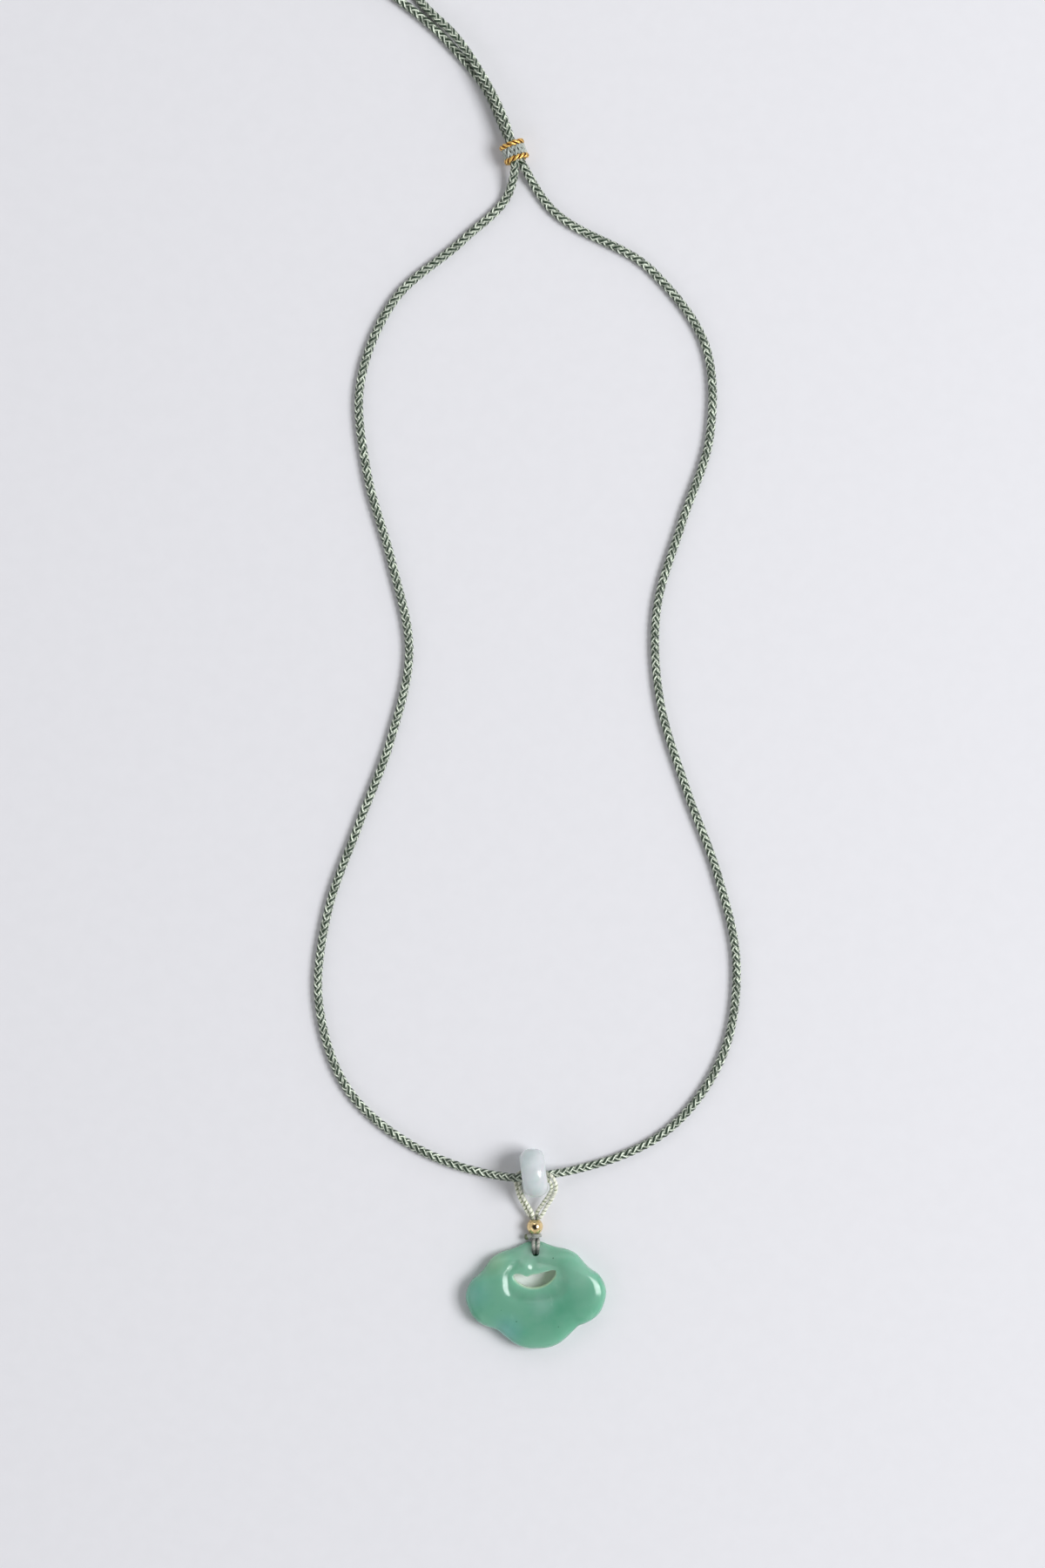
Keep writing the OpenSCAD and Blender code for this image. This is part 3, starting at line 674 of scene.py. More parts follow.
class RingSettings(PropertyGroup):
    diameter: size_prop("Diameter", "Outside diameter of the ring bead", 11.2, 8, 14)
    width: size_prop("Width", "Width of the ring bead along its hole", 5.7, 4, 8)
    bore: size_prop("Hole", "Diameter of its hole", 5.2, 4, 7)
    body: colour_prop("Stone", "Colour of the icy stone", (0.685, 0.77, 0.785))
    cloud: colour_prop("Clouds", "Colour of its clouds", (0.765, 0.84, 0.86))


class BailSettings(PropertyGroup):
    diameter: size_prop("Diameter", "Thickness of the thin cord", 1.0, 0.6, 1.5)
    lead: size_prop("Lead", "Length of cord in which a ply goes once round", 1.0, 0.8, 3)
    # deep: painted shade, the colour in the gaps between the plies
    deep: colour_prop("Gaps", "Colour deep between the plies", (0.07, 0.10, 0.025))
    body: colour_prop("Plies", "Colour of the pale plies", (0.98, 0.98, 0.84))
    olive: colour_prop("Olive ply", "Colour of the darker ply", (0.30, 0.36, 0.19))
    # bright: the plies' pale edges, partly pale filaments and partly painted glints
    bright: colour_prop("Edges", "Colour of the plies' bright edges", (0.98, 0.98, 0.93))
    hitch: colour_prop("Hitch", "Colour of the hitch's turn", (0.36, 0.38, 0.345))


class BeadSettings(PropertyGroup):
    diameter: size_prop("Diameter", "Diameter of the gold bead", 3.7, 2, 6)
    bore: size_prop("Hole", "Diameter of the hole through it", 2.2, 1, 3)
    gold: colour_prop("Gold", "Colour of the gilt metal", (1.0, 0.76, 0.40))


class PendantSettings(PropertyGroup):
    width: size_prop("Width", "Width across the side lobes", 32.2, 20, 50)
    height: size_prop("Height", "Height before the point is blunted", 25.0, 15, 40)
    thickness: size_prop("Thickness", "Thickness inside the rounded rim", 5.2, 3, 8)
    dish_depth: size_prop("Dish depth", "Depth of the field round the crescent", 0.5, 0.3, 2)
    hole: size_prop("Cord hole", "Diameter of the drilled cord hole", 1.6, 1, 3)
    body: colour_prop("Stone", "Colour of the green stone", (0.105, 0.355, 0.235))
    cloud: colour_prop("Clouds", "Colour of its clouds", (0.175, 0.42, 0.30))
    vein: colour_prop("Veins", "Colour of its paler veins", (0.33, 0.57, 0.45))


class NecklaceSettings(PropertyGroup):
    stage: PointerProperty(type=StageSettings, name="Stage")
    cord: PointerProperty(type=CordSettings, name="Cord")
    knot: PointerProperty(type=KnotSettings, name="Sliding knot")
    ring: PointerProperty(type=RingSettings, name="Ring bead")
    bail: PointerProperty(type=BailSettings, name="Bail")
    bead: PointerProperty(type=BeadSettings, name="Gold bead")
    pendant: PointerProperty(type=PendantSettings, name="Pendant")


# Stage

# Lights: share of the window's power, colour, size, and the direction and height that each
# shines from
LIGHTS = (
    ("window", 1.0, (0.97, 0.985, 1.0), (1.1, 1.0), radians(1), radians(51)),
    ("second_window", 0.08, (0.97, 0.985, 1.0), (1.1, 0.9), radians(97), radians(48)),
    ("far_window", 0.05, (0.78, 0.9, 1.0), (1.4, 1.0), radians(222), radians(40)),
)


# Point that the lights are aimed at and how far off they are, in metres
LIGHT_TARGET = Vector((0, -0.03, 0))
LIGHT_DISTANCE = 2.2

# Colours of the room, round the sides and overhead, and how steeply a ray from it comes down,
# from 0 to 1, where the one turns to the other
ROOM_SIDES, ROOM_TOP = (0.98, 0.97, 0.96), (0.05, 0.05, 0.055)
ROOM_FROM, ROOM_TO = 0.55, 0.93

# The camera's lens and sensor in millimetres, its place over the floor and the nearest and
# farthest that it sees in metres, and half the floor's side
LENS, SENSOR = 100, 36
CAMERA_X, CAMERA_Y = -0.003, -0.009
NEAREST, FARTHEST = 0.01, 50
HALF_FLOOR = 3.0


def soft_light(name, power, colour, size, azimuth, height):
    """A window of soft light, from a direction round the necklace and a height, both angles."""
    light = bpy.data.lights.new(name, "AREA")
    light.energy, light.color = power, colour
    light.shape, light.size, light.size_y = "RECTANGLE", size[0], size[1]
    lamp = new_object(name, light)
    away = Vector((cos(height) * cos(azimuth), cos(height) * sin(azimuth), sin(height)))
    lamp.location = LIGHT_TARGET + LIGHT_DISTANCE * away
    facing = LIGHT_TARGET - lamp.location
    lamp.rotation_euler = facing.to_track_quat("-Z", "Y").to_euler()


class NECKLACE_OT_stage(Operator):
    """Hang the camera overhead, lay the pale floor and set the soft lights"""

    bl_idname = "necklace.stage"
    bl_label = "Stage"
    bl_options = {"REGISTER", "UNDO"}

    def execute(self, context):
        sizes = context.scene.necklace.stage
        scene = context.scene
        scene.view_settings.view_transform = "Standard"
        camera = new_object("camera", bpy.data.cameras.new("camera"))
        camera.data.lens, camera.data.sensor_width = LENS, SENSOR
        camera.data.clip_start, camera.data.clip_end = NEAREST, FARTHEST
        camera.location = (CAMERA_X, CAMERA_Y, sizes.camera_height)
        scene.camera = camera

        mesh = bpy.data.meshes.new("floor")
        half = HALF_FLOOR
        mesh.from_pydata(
            [(-half, -half, 0), (half, -half, 0), (half, half, 0), (-half, half, 0)],
            [], [(0, 1, 2, 3)],
        )
        mesh.materials.append(floor_material("pale_paper", sizes.floor_colour))
        floor = new_object("floor", mesh)

        for name, share, colour, size, azimuth, height in LIGHTS:
            soft_light(name, share * sizes.window_power, colour, size, azimuth, height)
        world = bpy.data.worlds.new("room")
        world.use_nodes = True
        tree = world.node_tree
        background = tree.nodes["Background"]
        look = node(tree, "SeparateXYZ", {0: node(tree, "TexCoord").outputs["Generated"]})
        dim = between(tree, look.outputs["Z"], ROOM_FROM, ROOM_TO)
        shade = blend(tree, dim, rgba(ROOM_SIDES), rgba(ROOM_TOP))
        tree.links.new(shade, background.inputs["Color"])
        background.inputs["Strength"].default_value = sizes.room_light
        scene.world = world
        return {"FINISHED"}


# Necklace cord and its knots

# How the braid twists along the cord: to and fro by an angle as the sine of the length over so
# many millimetres, and slowly on, by an angle in each millimetre
SWAY, SWAY_LENGTH, CREEP = radians(40), 55, radians(0.35)

# Stopper knot, in millimetres from its tail's end: where the cord is in its core, where it bends
# back and where its cut end sticks out to
CORE_START, CORE_END, KNOT_BEND, STUB_END = 0.1, 4.9, 5.3, 6.9
# Its turns: where they start, how far back they run, their radius, and how far they go in degrees
TURNS_START, TURNS_LENGTH, TURNS_RADIUS, TURNS_ANGLE = 4.55, 3.9, 1.6, 1010


def cord_line(sizes, step):
    """Evenly spaced middle line of the necklace cord; where z is 0 the cord lies on the surface."""
    line = smooth_line(CORD_ROUTE, step=0.5)
    line[:, 2] = np.maximum(line[:, 2], sizes.diameter / MM / 2)
    return even_line(line, step)


def cord_braid(shell, line, sizes, scale=1.0, turn=0.0):
    """Braids the necklace cord along a line, at a share of its full thickness."""
    outer = scale * sizes.diameter / MM / 2
    half_height = scale * sizes.yarn_height / MM / 2
    wave = 1.04 * half_height  # Each thread goes up and down by about half its height
    braid(
        shell, line, carriers=4, lead=scale * sizes.lead / MM,
        middle=outer - half_height - wave, wave=wave,
        half_width=scale * sizes.yarn_width / MM / 2, half_height=half_height, sides=6, turn=turn,
    )


def stopper_line(end, turn):
    """Middle line of a barrel knot past a tail's end: through its core and out, then almost three
    turns back round the core, and in under them."""
    core = [(0, y, 0) for y in np.linspace(CORE_START, CORE_END, 9)]
    angle = np.radians(np.linspace(0, TURNS_ANGLE, 60))
    y = TURNS_START - TURNS_LENGTH * angle / angle[-1]
    turns = np.stack([TURNS_RADIUS * np.sin(angle), y, TURNS_RADIUS * np.cos(angle)], -1)
    tuck = [(-0.7, 0.75, 0.75), (-0.2, 1.1, 0.35)]
    points = np.vstack([core, [(0, KNOT_BEND, 0.9)], turns, tuck])
    line = turned(points, turn) + np.array((end[0], end[1], TAIL_KNOT_Z))
    return even_line(smooth_line(line, step=0.25), step=0.4)


def stub_line(end, turn):
    """Middle line of the cord's cut end, which sticks out of its stopper knot."""
    stub = [(0, y, 0) for y in np.linspace(KNOT_BEND, STUB_END, 6)]
    return even_line(turned(stub, turn) + np.array(end), step=0.3)


class NECKLACE_OT_cord(Operator):
    """Braid the necklace cord and tie its two stopper knots"""

    bl_idname = "necklace.cord"
    bl_label = "Braided cord"
    bl_options = {"REGISTER", "UNDO"}

    def execute(self, context):
        sizes = context.scene.necklace.cord
        material = thread_material(
            "sage_braid", sizes.deep, sizes.body, sizes.bright, filaments=7.0, slant=1.2,
            edge=0.46, sheen=0.1,
        )
        steps_in_lead = 16
        line = cord_line(sizes, sizes.lead / MM / steps_in_lead)
        twist = SWAY * np.sin(lengths(line) / SWAY_LENGTH) + CREEP * lengths(line)
        shell = Shell()
        cord_braid(shell, line, sizes, turn=twist)
        cord = shell.piece("necklace_braid", material, "cord", "necklace_cord")
        for name, end, turn in TAIL_KNOTS:
            shell = Shell()
            cord_braid(shell, stopper_line(end, turn), sizes, scale=0.82)
            cord_braid(shell, stub_line(end, turn), sizes, scale=0.8)
            shell.piece(name + "_braid", material, "cord", name)
        return {"FINISHED"}


def knot_frame(points):
    """Points of the sliding knot, drawn along Y about its middle, put in place."""
    return turned(points, KNOT_TURN) + KNOT_AT


def knot_circle(radius, y, steps):
    """A circle about the Y axis."""
    angle = 2 * pi * np.arange(steps) / steps
    return np.stack([radius * np.sin(angle), np.full(steps, y), radius * np.cos(angle)], -1)


def pressed(points, middle, share):
    """Presses points towards a radius about the Y axis, to a share of their distance from it."""
    flat = points[..., (0, 2)]
    radius = np.linalg.norm(flat, axis=-1, keepdims=True)
    kept = points.copy()
    kept[..., (0, 2)] = flat / radius * (middle + share * (radius - middle))
    return kept


def packed_core(radius, length):
    """Rings of a collar under the wrapping, for the threads packed there; it takes the dark gap
    colour all over, as painted shade between the wrapping threads.
    """
    wall, edge = 0.2, 0.08
    return laid(lathe(collar(radius - wall, radius, length, edge), steps=64))


# Sliding knot, in millimetres: how deep in the wrapping its core's face and its threads' middle
# lie, how far the threads run past its length at each end, and the gap to the gold rows
CORE_DEPTH, THREAD_DEPTH, OVERHANG, GOLD_GAP = 0.42, 0.36, 0.12, 0.05
# Gold rows: how far they stand over the wrapping, half their height, and the share of it that
# they are pressed to
GOLD_PROUD, GOLD_HALF_HEIGHT, GOLD_PRESS = 0.12, 0.385, 0.62


class NECKLACE_OT_knot(Operator):
    """Wind the sliding knot: its grey wrapping and the gold rows at its ends"""

    bl_idname = "necklace.knot"
    bl_label = "Sliding knot"
    bl_options = {"REGISTER", "UNDO"}

    def execute(self, context):
        sizes = context.scene.necklace.knot
        radius, length = sizes.wrap_diameter / MM / 2, sizes.wrap_length / MM
        grey = thread_material(
            "grey_wrapping", sizes.deep, sizes.body, sizes.bright, filaments=5.0, slant=1.5,
            edge=0.6,
        )
        shell = Shell()
        reach = length / 2 + OVERHANG
        axis = np.zeros((24, 3))
        axis[:, 1] = np.linspace(-reach, reach, 24)
        # rise 0.4 gives the core wholly the dark gap colour: painted shade seen between the
        # wrapping threads
        shell.tube(packed_core(radius - CORE_DEPTH, length), rise=0.4, closed=True)
        braid(
            shell, axis, carriers=16, lead=38.0, middle=radius - THREAD_DEPTH, wave=0.13,
            half_width=0.26, half_height=0.22, sides=8,
        )
        shell.points = [knot_frame(p) for p in shell.points]
        shell.piece("knot_wrapping", grey, "wrap_thread", "sliding_knot_wrap")

        gold = gold_thread_material("gold_thread", sizes.gold, shadow_and_wear=(0.24, 0.06, 0.01))
        row = sizes.row_length / MM
        middle = radius + GOLD_PROUD - GOLD_HALF_HEIGHT
        for way, word in ((1, "upper"), (-1, "lower")):
            shell = Shell()
            y = way * (length / 2 + GOLD_GAP + row / 2)
            ring = thick_line(knot_circle(middle, y, steps=168), row)
            plied(shell, ring, plies=2, sides=12, turns=6 * way)
            shell.points = [knot_frame(pressed(p, middle, GOLD_PRESS)) for p in shell.points]
            shell.piece(
                f"knot_gold_{word}", gold, "gold_thread", f"sliding_knot_gold_{word}"
            )
        return {"FINISHED"}


# Ring bead

# How far the ring's face falls to its edges, in millimetres, the power of its curve, and the
# rounding of the hole's edges
FACE_FALL, FACE_POWER, HOLE_EDGE = 2.2, 0.9, 0.75


class NECKLACE_OT_ring(Operator):
    """Turn the pale jade ring bead that stands round the cord"""

    bl_idname = "necklace.ring"
    bl_label = "Ring bead"
    bl_options = {"REGISTER", "UNDO"}

    def execute(self, context):
        sizes = context.scene.necklace.ring
        half, inner, outer = sizes.width / MM / 2, sizes.bore / MM / 2, sizes.diameter / MM / 2
        face = [
            (outer - FACE_FALL * (1 - abs(cos(a)) ** FACE_POWER), half * sin(a))
            for a in np.radians(np.linspace(-90, 90, 41))
        ]
        section = [
            *face,
            *corner(inner + HOLE_EDGE, half - HOLE_EDGE, HOLE_EDGE, 90),
            *corner(inner + HOLE_EDGE, -half + HOLE_EDGE, HOLE_EDGE, 180),
        ]
        shell = Shell()
        shell.tube(lathe(section, steps=128), closed=True)
        tilt = Matrix.Rotation(radians(RING_TURN), 3, "Z") @ Matrix.Rotation(pi / 2, 3, "Y")
        shell.points = [p @ np.array(tilt).T + RING_AT for p in shell.points]
        material = jade_material(
            "icy_jade", sizes.body, sizes.cloud, vein=(0.84, 0.90, 0.91), depth=0.007,
            cloud_scale=330, Transmission_Weight=0.25,
        )
        shell.piece("icy_ring", material, "ice_jade", "ring_bead")
        return {"FINISHED"}


# Bail cord, hitch and gold bead

# Turns of the hitch: lean in degrees, then place along Y and thickness in millimetres
HITCH_TURNS = ((9, -0.2, 0.66), (-8, 0.2, 0.6))
# Radius at which they are drawn, the radius that they are pressed towards, and to what share
HITCH_RADIUS, HITCH_MIDDLE, HITCH_PRESS = 1.08, 1.1, 0.8


def bail_point(place, p, ring, bead):
    """A point of the bail's route in millimetres, from the place that it is measured from."""
    if place == "ring":
        half = np.array((ring.width / 2, ring.bore / 2, ring.bore / 2)) / MM
        return RING_AT + turned(p * half, RING_TURN)
    if place == "bead":
        return BEAD_AT + p * np.array((bead.bore, bead.diameter, bead.bore)) / MM / 2
    if place == "hitch":
        return HITCH_AT + p
    if place == "stone":
        return PENDANT_TOP + turned((HOLE_X + p[0], -p[1], p[2]), PENDANT_TURN)
    return p


def sealed_end():
    """Rings of the hitch's sealed end: a small uneven ball, flattened along its cord."""
    radius, unevenness, flatness, pole = 0.7, 0.06, 0.75, 0.04
    angle = np.linspace(pi - pole, pole, 14)
    ball = radius * (1 + unevenness * np.sin(3 * angle))
    section = np.stack([ball * np.sin(angle), flatness * ball * np.cos(angle)], -1)
    tip = lathe(section, steps=24)
    tip = tip[..., (2, 1, 0)] * np.array((1, 1.02, 1)) + HITCH_END_AT + (-0.12, -0.08, 0)
    return tip.swapaxes(0, 1)


class NECKLACE_OT_bail(Operator):
    """Twist the thin bail cord and tie the hitch that gathers it"""

    bl_idname = "necklace.bail"
    bl_label = "Bail and hitch"
    bl_options = {"REGISTER", "UNDO"}

    def execute(self, context):
        necklace = context.scene.necklace
        sizes, ring, bead = necklace.bail, necklace.ring, necklace.bead
        thick, lead = sizes.diameter / MM, sizes.lead / MM
        rows = [
            (*bail_point(place, np.array(p[:3], float), ring, bead), p[3] * thick)
            for place, *points in BAIL_ROUTE
            for p in points
        ]
        line = even_line(smooth_line(rows, step=0.1), step=lead / 12)
        material = thread_material(
            "bail_plies", sizes.deep, sizes.body, sizes.bright, filaments=5.0, slant=2.2,
            edge=0.6, roughness=0.3, ends=BAIL_GREY_AND_HOLE_SHADE, groove=(0.68, 0.97), first=sizes.olive,
        )
        shell = Shell()
        plied(shell, line, plies=3, sides=6, lead=lead)
        shell.piece("bail_plies", material, "bail_thread", "bail_cord")

        tie = thread_material(
            "hitch_plies", sizes.deep, sizes.hitch, sizes.bright, filaments=5.0, slant=2.2,
            edge=0.7,
        )
        shell = Shell()
        for lean, y, size in HITCH_TURNS:
            turn = turned(knot_circle(HITCH_RADIUS, y=0.0, steps=120), lean) + (0, y, 0)
            plied(shell, thick_line(turn, size), plies=3, sides=8, turns=9)
        shell.points = [pressed(p, HITCH_MIDDLE, HITCH_PRESS) + HITCH_AT for p in shell.points]
        # The end comes out of the turns, thickens and is sealed
        stub = [
            (*(HITCH_AT + (-0.7, 0.1, 0.75)), 0.7),
            (*(HITCH_AT + (-1.25, 0.02, 0.5)), 0.95),
            (*(HITCH_END_AT + (0.05, 0.05, 0.1)), 1.1),
        ]
        stub = even_line(smooth_line(stub, step=0.1), step=0.08)
        plied(shell, stub, plies=3, sides=8, lead=1.1)
        # rise 0.55 gives the sealed end almost wholly the dark colour of the gaps
        shell.tube(sealed_end(), rise=0.55)
        shell.piece("hitch_turn", tie, "bail_thread", "hitch_knot")
        return {"FINISHED"}


class NECKLACE_OT_bead(Operator):
    """Turn the polished gold bead between the ring and the hitch"""

    bl_idname = "necklace.bead"
    bl_label = "Gold bead"
    bl_options = {"REGISTER", "UNDO"}

    def execute(self, context):
        sizes = context.scene.necklace.bead
        outer, bore = sizes.diameter / MM / 2, sizes.bore / MM / 2
        lip, drop = 0.14, 0.03
        edge = np.arcsin((bore + lip) / outer)
        ball = [(outer * sin(a), -outer * cos(a)) for a in np.linspace(edge, pi - edge, 40)]
        top = ball[-1][1] - drop
        section = [
            *ball,
            *corner(bore + lip, top, lip, 90, count=5),
            *corner(bore + lip, -top, lip, 180, count=5),
        ]
        shell = Shell()
        shell.tube(laid(lathe(section, steps=96)) + BEAD_AT, closed=True)
        material = gold_metal_material("gilt_metal", sizes.gold)
        shell.piece("gilt_bead", material, "gold_metal", "gold_bead")
        return {"FINISHED"}


# Pendant

def outline_share(a):
    """Share of the half width and half height that the outline reaches, a degrees from its top."""
    at, share = np.array(OUTLINE, float).T
    rise = np.diff(share) / np.diff(at)
    slope = np.concatenate([[0], (rise[:-1] + rise[1:]) / 2, [0]])
    a = np.where(a > 180, 360 - a, a)
    i = np.clip(np.searchsorted(at, a, "right") - 1, 0, len(at) - 2)
    w = at[i + 1] - at[i]
    b, c, d, e = hermite((a - at[i]) / w)
    return b * share[i] + c * w * slope[i] + d * share[i + 1] + e * w * slope[i + 1]


class Stone:
    """Shape of the pendant, in millimetres about its own middle, with its back at z 0."""

    # Rim: its height at the lobes and at the point, how far in its rounding and its steep edge
    # reach, the share of the rise that the rounding has to itself, and the power of its curve
    rim_z, lug_rim_z, rim_round, edge_round, crown, round_power = 2.2, 1.2, 4.5, 1.1, 0.44, 2.2
    # Point: thickness, half width, power of its sides, and where the stone starts to thin to it
    # and is thinnest, as shares of the stone's height up from its middle
    lug_t, lug_half_w, lug_power, lug_from, lug_full = 3.4, 6.0, 2.4, 0.2, 0.4
    # Stem: width, place, lean, strength, and where it starts and is full, as for the point
    stem_w, stem_side, stem_lean, stem_share = 2.9, -1.5, 0.25, 1.6
    stem_from, stem_full = 0.176, 0.304
    # Crescent: width, thickness, bend, bluntness of its ends, rounding, turn and place
    crescent_w, crescent_t, crescent_bend, crescent_blunt = 9.7, 3.2, 1.6, 0.82
    crescent_round, crescent_turn, crescent_x, crescent_y = 0.4, 3.5, -0.05, 0.156
    # Dip in the crescent's upper side: depth, place and half width
    dip, dip_x, dip_half_w = 0.5, -1.85, 0.9
    # Dish: place of its middle, power of its outline, and half width and half height of its floor
    # and of its edge, as shares of the stone's sizes
    dish_y, dish_power, dish_floor, dish_edge = 0.128, 2.8, (0.188, 0.16), (0.256, 0.24)

    # Rows of points: on the back, millimetres out from the crescent and up; round the rim's lower
    # edge, in degrees; over the rim, as shares of its rounding; the number of steps over the face;
    # and into the crescent, in degrees
    back_rows = ((0.04, 0.35), (0.12, 0.16), (0.3, 0.04), (0.6, 0.0), (1.4, 0.0))
    edge_rows = (90, 75, 60, 45, 30, 15, 0)
    rim_rows = (0.003, 0.01, 0.025, 0.05, 0.09, 0.14, 0.2, 0.28, 0.37, 0.47, 0.58, 0.7, 0.85)
    face_steps = 26
    wall_rows = (18, 36, 54, 72, 90)
    # Where the colour is painted paler and glowing, as painted light coming through the stone:
    # millimetres out from the crescent on the back, the share at the rim and how fast it fades from
    # there, and the degrees that a full share would take
    back_glow, rim_glow, rim_fade, wall_glow = 0.5, 0.2, 2, 120

    def __init__(self, sizes):
        self.w, self.h = sizes.width / MM, sizes.height / MM
        self.t, self.dish = sizes.thickness / MM, sizes.dish_depth / MM
        self.hole = np.array((HOLE_X, self.h / 2 - HOLE_DOWN, 0))

    def rim(self, a):
        r = np.radians(a)
        share = outline_share(a)
        return np.stack([share * self.w / 2 * np.sin(r), share * self.h / 2 * np.cos(r)], -1)

    def crescent(self, a):
        r = np.radians(a)
        side = np.sign(np.sin(r)) * np.abs(np.sin(r)) ** self.crescent_blunt
        up = np.sign(np.cos(r)) * np.abs(np.cos(r)) ** self.crescent_blunt
        x = self.crescent_w / 2 * side
        dip = (up > 0) * self.dip * np.exp(-(((x - self.dip_x) / self.dip_half_w) ** 2))
        y = self.crescent_t / 2 * up + self.crescent_bend * (side**2 - 0.5) - dip
        flat = turned(np.stack([x, y, 0 * x], -1), self.crescent_turn)
        return flat[..., :2] + np.array((self.crescent_x, self.crescent_y * self.h))

    def lug(self, p):
        """How far the stone has thinned to its point at p: 0 nowhere, 1 fully."""
        middle = np.exp(-((np.abs(p[..., 0]) / self.lug_half_w) ** self.lug_power))
        return middle * smoothstep(self.lug_from * self.h, self.lug_full * self.h, p[..., 1])

    def rim_height(self, p):
        return self.rim_z - (self.rim_z - self.lug_rim_z) * self.lug(p)

    def reach(self, x, y, half):
        """How far out a point is from the dish's middle, where 1 is at the half sizes given."""
        n, up = self.dish_power, y - self.dish_y * self.h
        x, y = np.abs(x) / (half[0] * self.w), np.abs(up) / (half[1] * self.h)
        return (x**n + y**n) ** (1 / n)

    def front(self, p, q):
        """Height of the front at p, where the rim's rounding is a share q complete."""
        x, y = p[..., 0], p[..., 1]
        lug, low = self.lug(p), self.rim_height(p)
        across = x - self.hole[0] - self.stem_side + self.stem_lean * (self.hole[1] - y)
        stem = self.stem_share * np.exp(-((2 * across / self.stem_w) ** 2))
        stem = stem * smoothstep(self.stem_from * self.h, self.stem_full * self.h, y)
        inner = np.maximum(0, self.reach(x, y, self.dish_floor) - 1)
        outer = np.maximum(0, 1 - self.reach(x, y, self.dish_edge))
        dish = self.dish * (1 - smoothstep(0, 1, inner / (inner + outer))) * (1 - stem)
        full = self.t - (self.t - self.lug_t) * lug - dish
        edge = self.edge_round + (self.rim_round - self.edge_round) * lug
        edge = np.minimum(1, q * self.rim_round / edge)
        crown = self.crown * (1 - lug)
        rise = crown * (1 - (1 - q) ** self.round_power)
        rise = rise + (1 - crown) * np.sqrt(1 - (1 - edge) ** 2)
        return low + (full - low) * rise

    def rings(self, count):
        """Lines of points from the crescent over the back and the front to the crescent again,
        and how near each point is to the crescent's wall, from 0 to 1, which the material paints as
        light coming through."""
        a = 360 * np.arange(count) / count
        o, c = self.rim(a), self.crescent(a)
        wide = np.linalg.norm(c - o, axis=1, keepdims=True)
        inwards = (c - o) / wide
        rows, near = [], []

        def row(p, z, wall=0.0):
            rows.append(np.concatenate([p, np.broadcast_to(z, (count, 1))], 1))
            near.append(wall)

        for back, z in self.back_rows:
            row(c - back * inwards, z, max(0, 1 - back / self.back_glow))
        for angle in self.edge_rows:
            r = radians(angle)
            p = o + (1 - cos(r)) * inwards
            row(p, self.rim_height(p)[:, None] * (1 - sin(r)))
        for q in self.rim_rows:
            p = o + q * self.rim_round * inwards
            row(p, self.front(p, q)[:, None], max(0, self.rim_glow - self.rim_fade * q))
        far = wide - self.crescent_round
        for k in range(self.face_steps + 1):
            p = o + (self.rim_round + (far - self.rim_round) * k / self.face_steps) * inwards
            row(p, self.front(p, 1)[:, None])
        for angle in self.wall_rows:
            b = radians(angle)
            p = c - self.crescent_round * (1 - sin(b)) * inwards
            z = self.front(p, 1) - self.crescent_round * (1 - cos(b))
            row(p, z[:, None], angle / self.wall_glow)
        row(c, 0.5 * rows[-1][:, 2:] + 0.2, 1.0)  # Halfway down the crescent's wall
        return np.stack(rows, 1), np.array(near)


def cut(piece, shape, place):
    """Cuts a bmesh shape out of a piece, placed by a matrix, and throws the shape away."""
    mesh = bpy.data.meshes.new("cutter")
    shape.to_mesh(mesh)
    shape.free()
    mesh.transform(place)
    cutter = new_object("cutter", mesh)
    change = piece.modifiers.new("cut", "BOOLEAN")
    change.operation, change.object, change.solver = "DIFFERENCE", cutter, "EXACT"
    graph = bpy.context.evaluated_depsgraph_get()
    whole, piece.data = piece.data, bpy.data.meshes.new_from_object(piece.evaluated_get(graph))
    piece.modifiers.remove(change)
    bpy.data.meshes.remove(whole)
    bpy.data.objects.remove(cutter)
    bpy.data.meshes.remove(mesh)


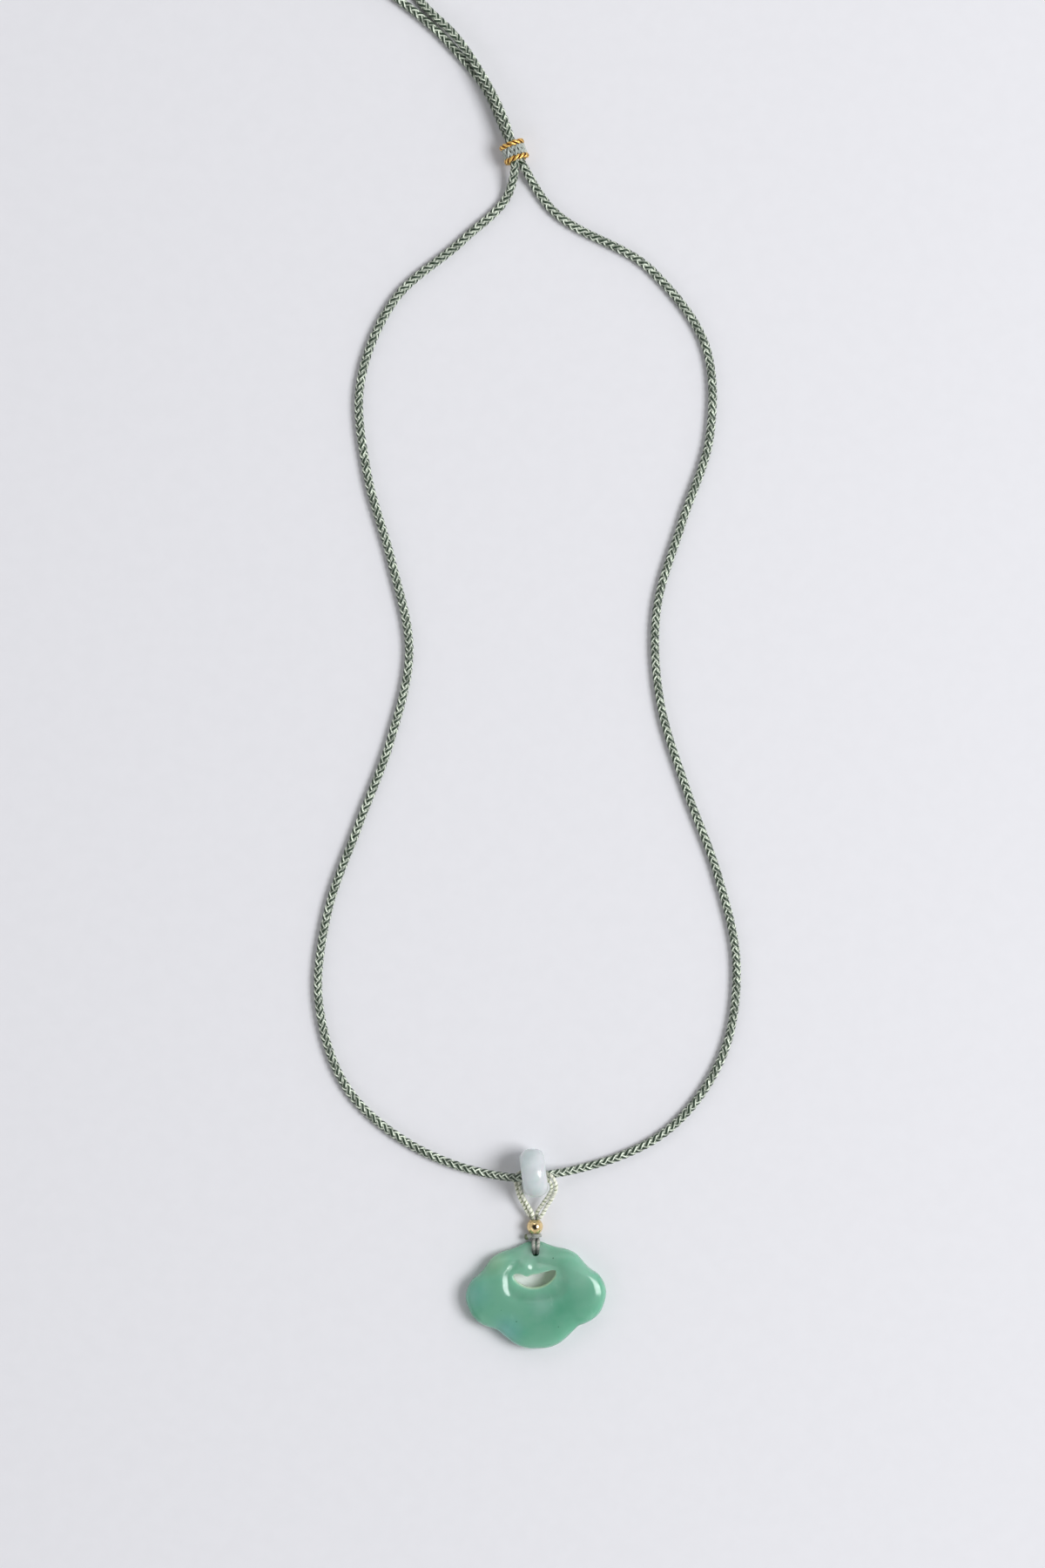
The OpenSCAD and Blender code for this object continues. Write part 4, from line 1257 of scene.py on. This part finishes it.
class NECKLACE_OT_pendant(Operator):
    """Carve the green jade pendant, its dished field, crescent and cord hole"""

    bl_idname = "necklace.pendant"
    bl_label = "Jade pendant"
    bl_options = {"REGISTER", "UNDO"}

    def execute(self, context):
        sizes = context.scene.necklace.pendant
        stone = Stone(sizes)
        shell = Shell()
        rings, near = stone.rings(264)
        # near goes into the rise attribute, which the jade material paints as a pale glow
        shell.tube(rings[::-1], rise=near, closed=True)
        middle = PENDANT_TOP - turned((0, stone.h / 2, 0), PENDANT_TURN)
        shell.points = [turned(p, PENDANT_TURN) + middle for p in shell.points]
        # thin: the painted pale tint and glow of light coming through the stone
        material = jade_material(
            "green_jade", sizes.body, sizes.cloud, sizes.vein, depth=0.006, cloud_scale=110,
            patches=PATCHES_AND_REFLECTIONS, specks=SPECKS, thin=(0.54, 0.68, 0.50),
        )
        piece = shell.piece("carved_pendant", material, "green_jade", "jade_pendant")

        # The drilled hole, and the groove behind the point, where the strands cross
        radius, groove_size = sizes.hole / 2, (2 * MM, sizes.height / 2, 2 * MM)
        hole_at = turned(stone.hole, PENDANT_TURN) + middle
        groove_at = turned(stone.hole + (0, stone.h / 4, 0), PENDANT_TURN) + middle
        drill, mill = bmesh.new(), bmesh.new()
        bmesh.ops.create_cone(
            drill, cap_ends=True, segments=48, radius1=radius, radius2=radius, depth=0.02
        )
        cut(piece, drill, Matrix.Translation(Vector(hole_at) * MM))
        bmesh.ops.create_cube(mill, size=1.0)
        turn = Matrix.Rotation(radians(PENDANT_TURN), 4, "Z")
        place = Matrix.Translation(Vector(groove_at) * MM) @ turn
        cut(piece, mill, place @ Matrix.Diagonal((*groove_size, 1)))
        piece.data.set_sharp_from_angle(angle=radians(42))
        return {"FINISHED"}


class NECKLACE_PT_panel(Panel):
    """Lists the pieces of the necklace, with their sizes and colours"""

    bl_label = "Jade Pendant Necklace"
    bl_idname = "NECKLACE_PT_panel"
    bl_space_type = "VIEW_3D"
    bl_region_type = "UI"
    bl_category = "Necklace"

    def draw(self, context):
        for operator, group in STEPS:
            box = self.layout.box()
            box.operator(operator.bl_idname)
            settings = getattr(context.scene.necklace, group)
            for name in settings.bl_rna.properties.keys():
                if name not in ("rna_type", "name"):
                    box.prop(settings, name)


# Operators in the order in which they run, and the group that holds each one's settings
STEPS = (
    (NECKLACE_OT_stage, "stage"),
    (NECKLACE_OT_cord, "cord"),
    (NECKLACE_OT_knot, "knot"),
    (NECKLACE_OT_ring, "ring"),
    (NECKLACE_OT_bail, "bail"),
    (NECKLACE_OT_bead, "bead"),
    (NECKLACE_OT_pendant, "pendant"),
)
CLASSES = (
    StageSettings, CordSettings, KnotSettings, RingSettings, BailSettings, BeadSettings,
    PendantSettings, NecklaceSettings, *(operator for operator, _ in STEPS), NECKLACE_PT_panel,
)


def register():
    for made in CLASSES:
        bpy.utils.register_class(made)
    bpy.types.Scene.necklace = PointerProperty(type=NecklaceSettings)


def unregister():
    del bpy.types.Scene.necklace
    for made in reversed(CLASSES):
        bpy.utils.unregister_class(made)


def main():
    register()
    bpy.ops.necklace.stage()
    bpy.ops.necklace.cord()
    bpy.ops.necklace.knot()
    bpy.ops.necklace.ring()
    bpy.ops.necklace.bail()
    bpy.ops.necklace.bead()
    bpy.ops.necklace.pendant()


if __name__ == "__main__":
    main()
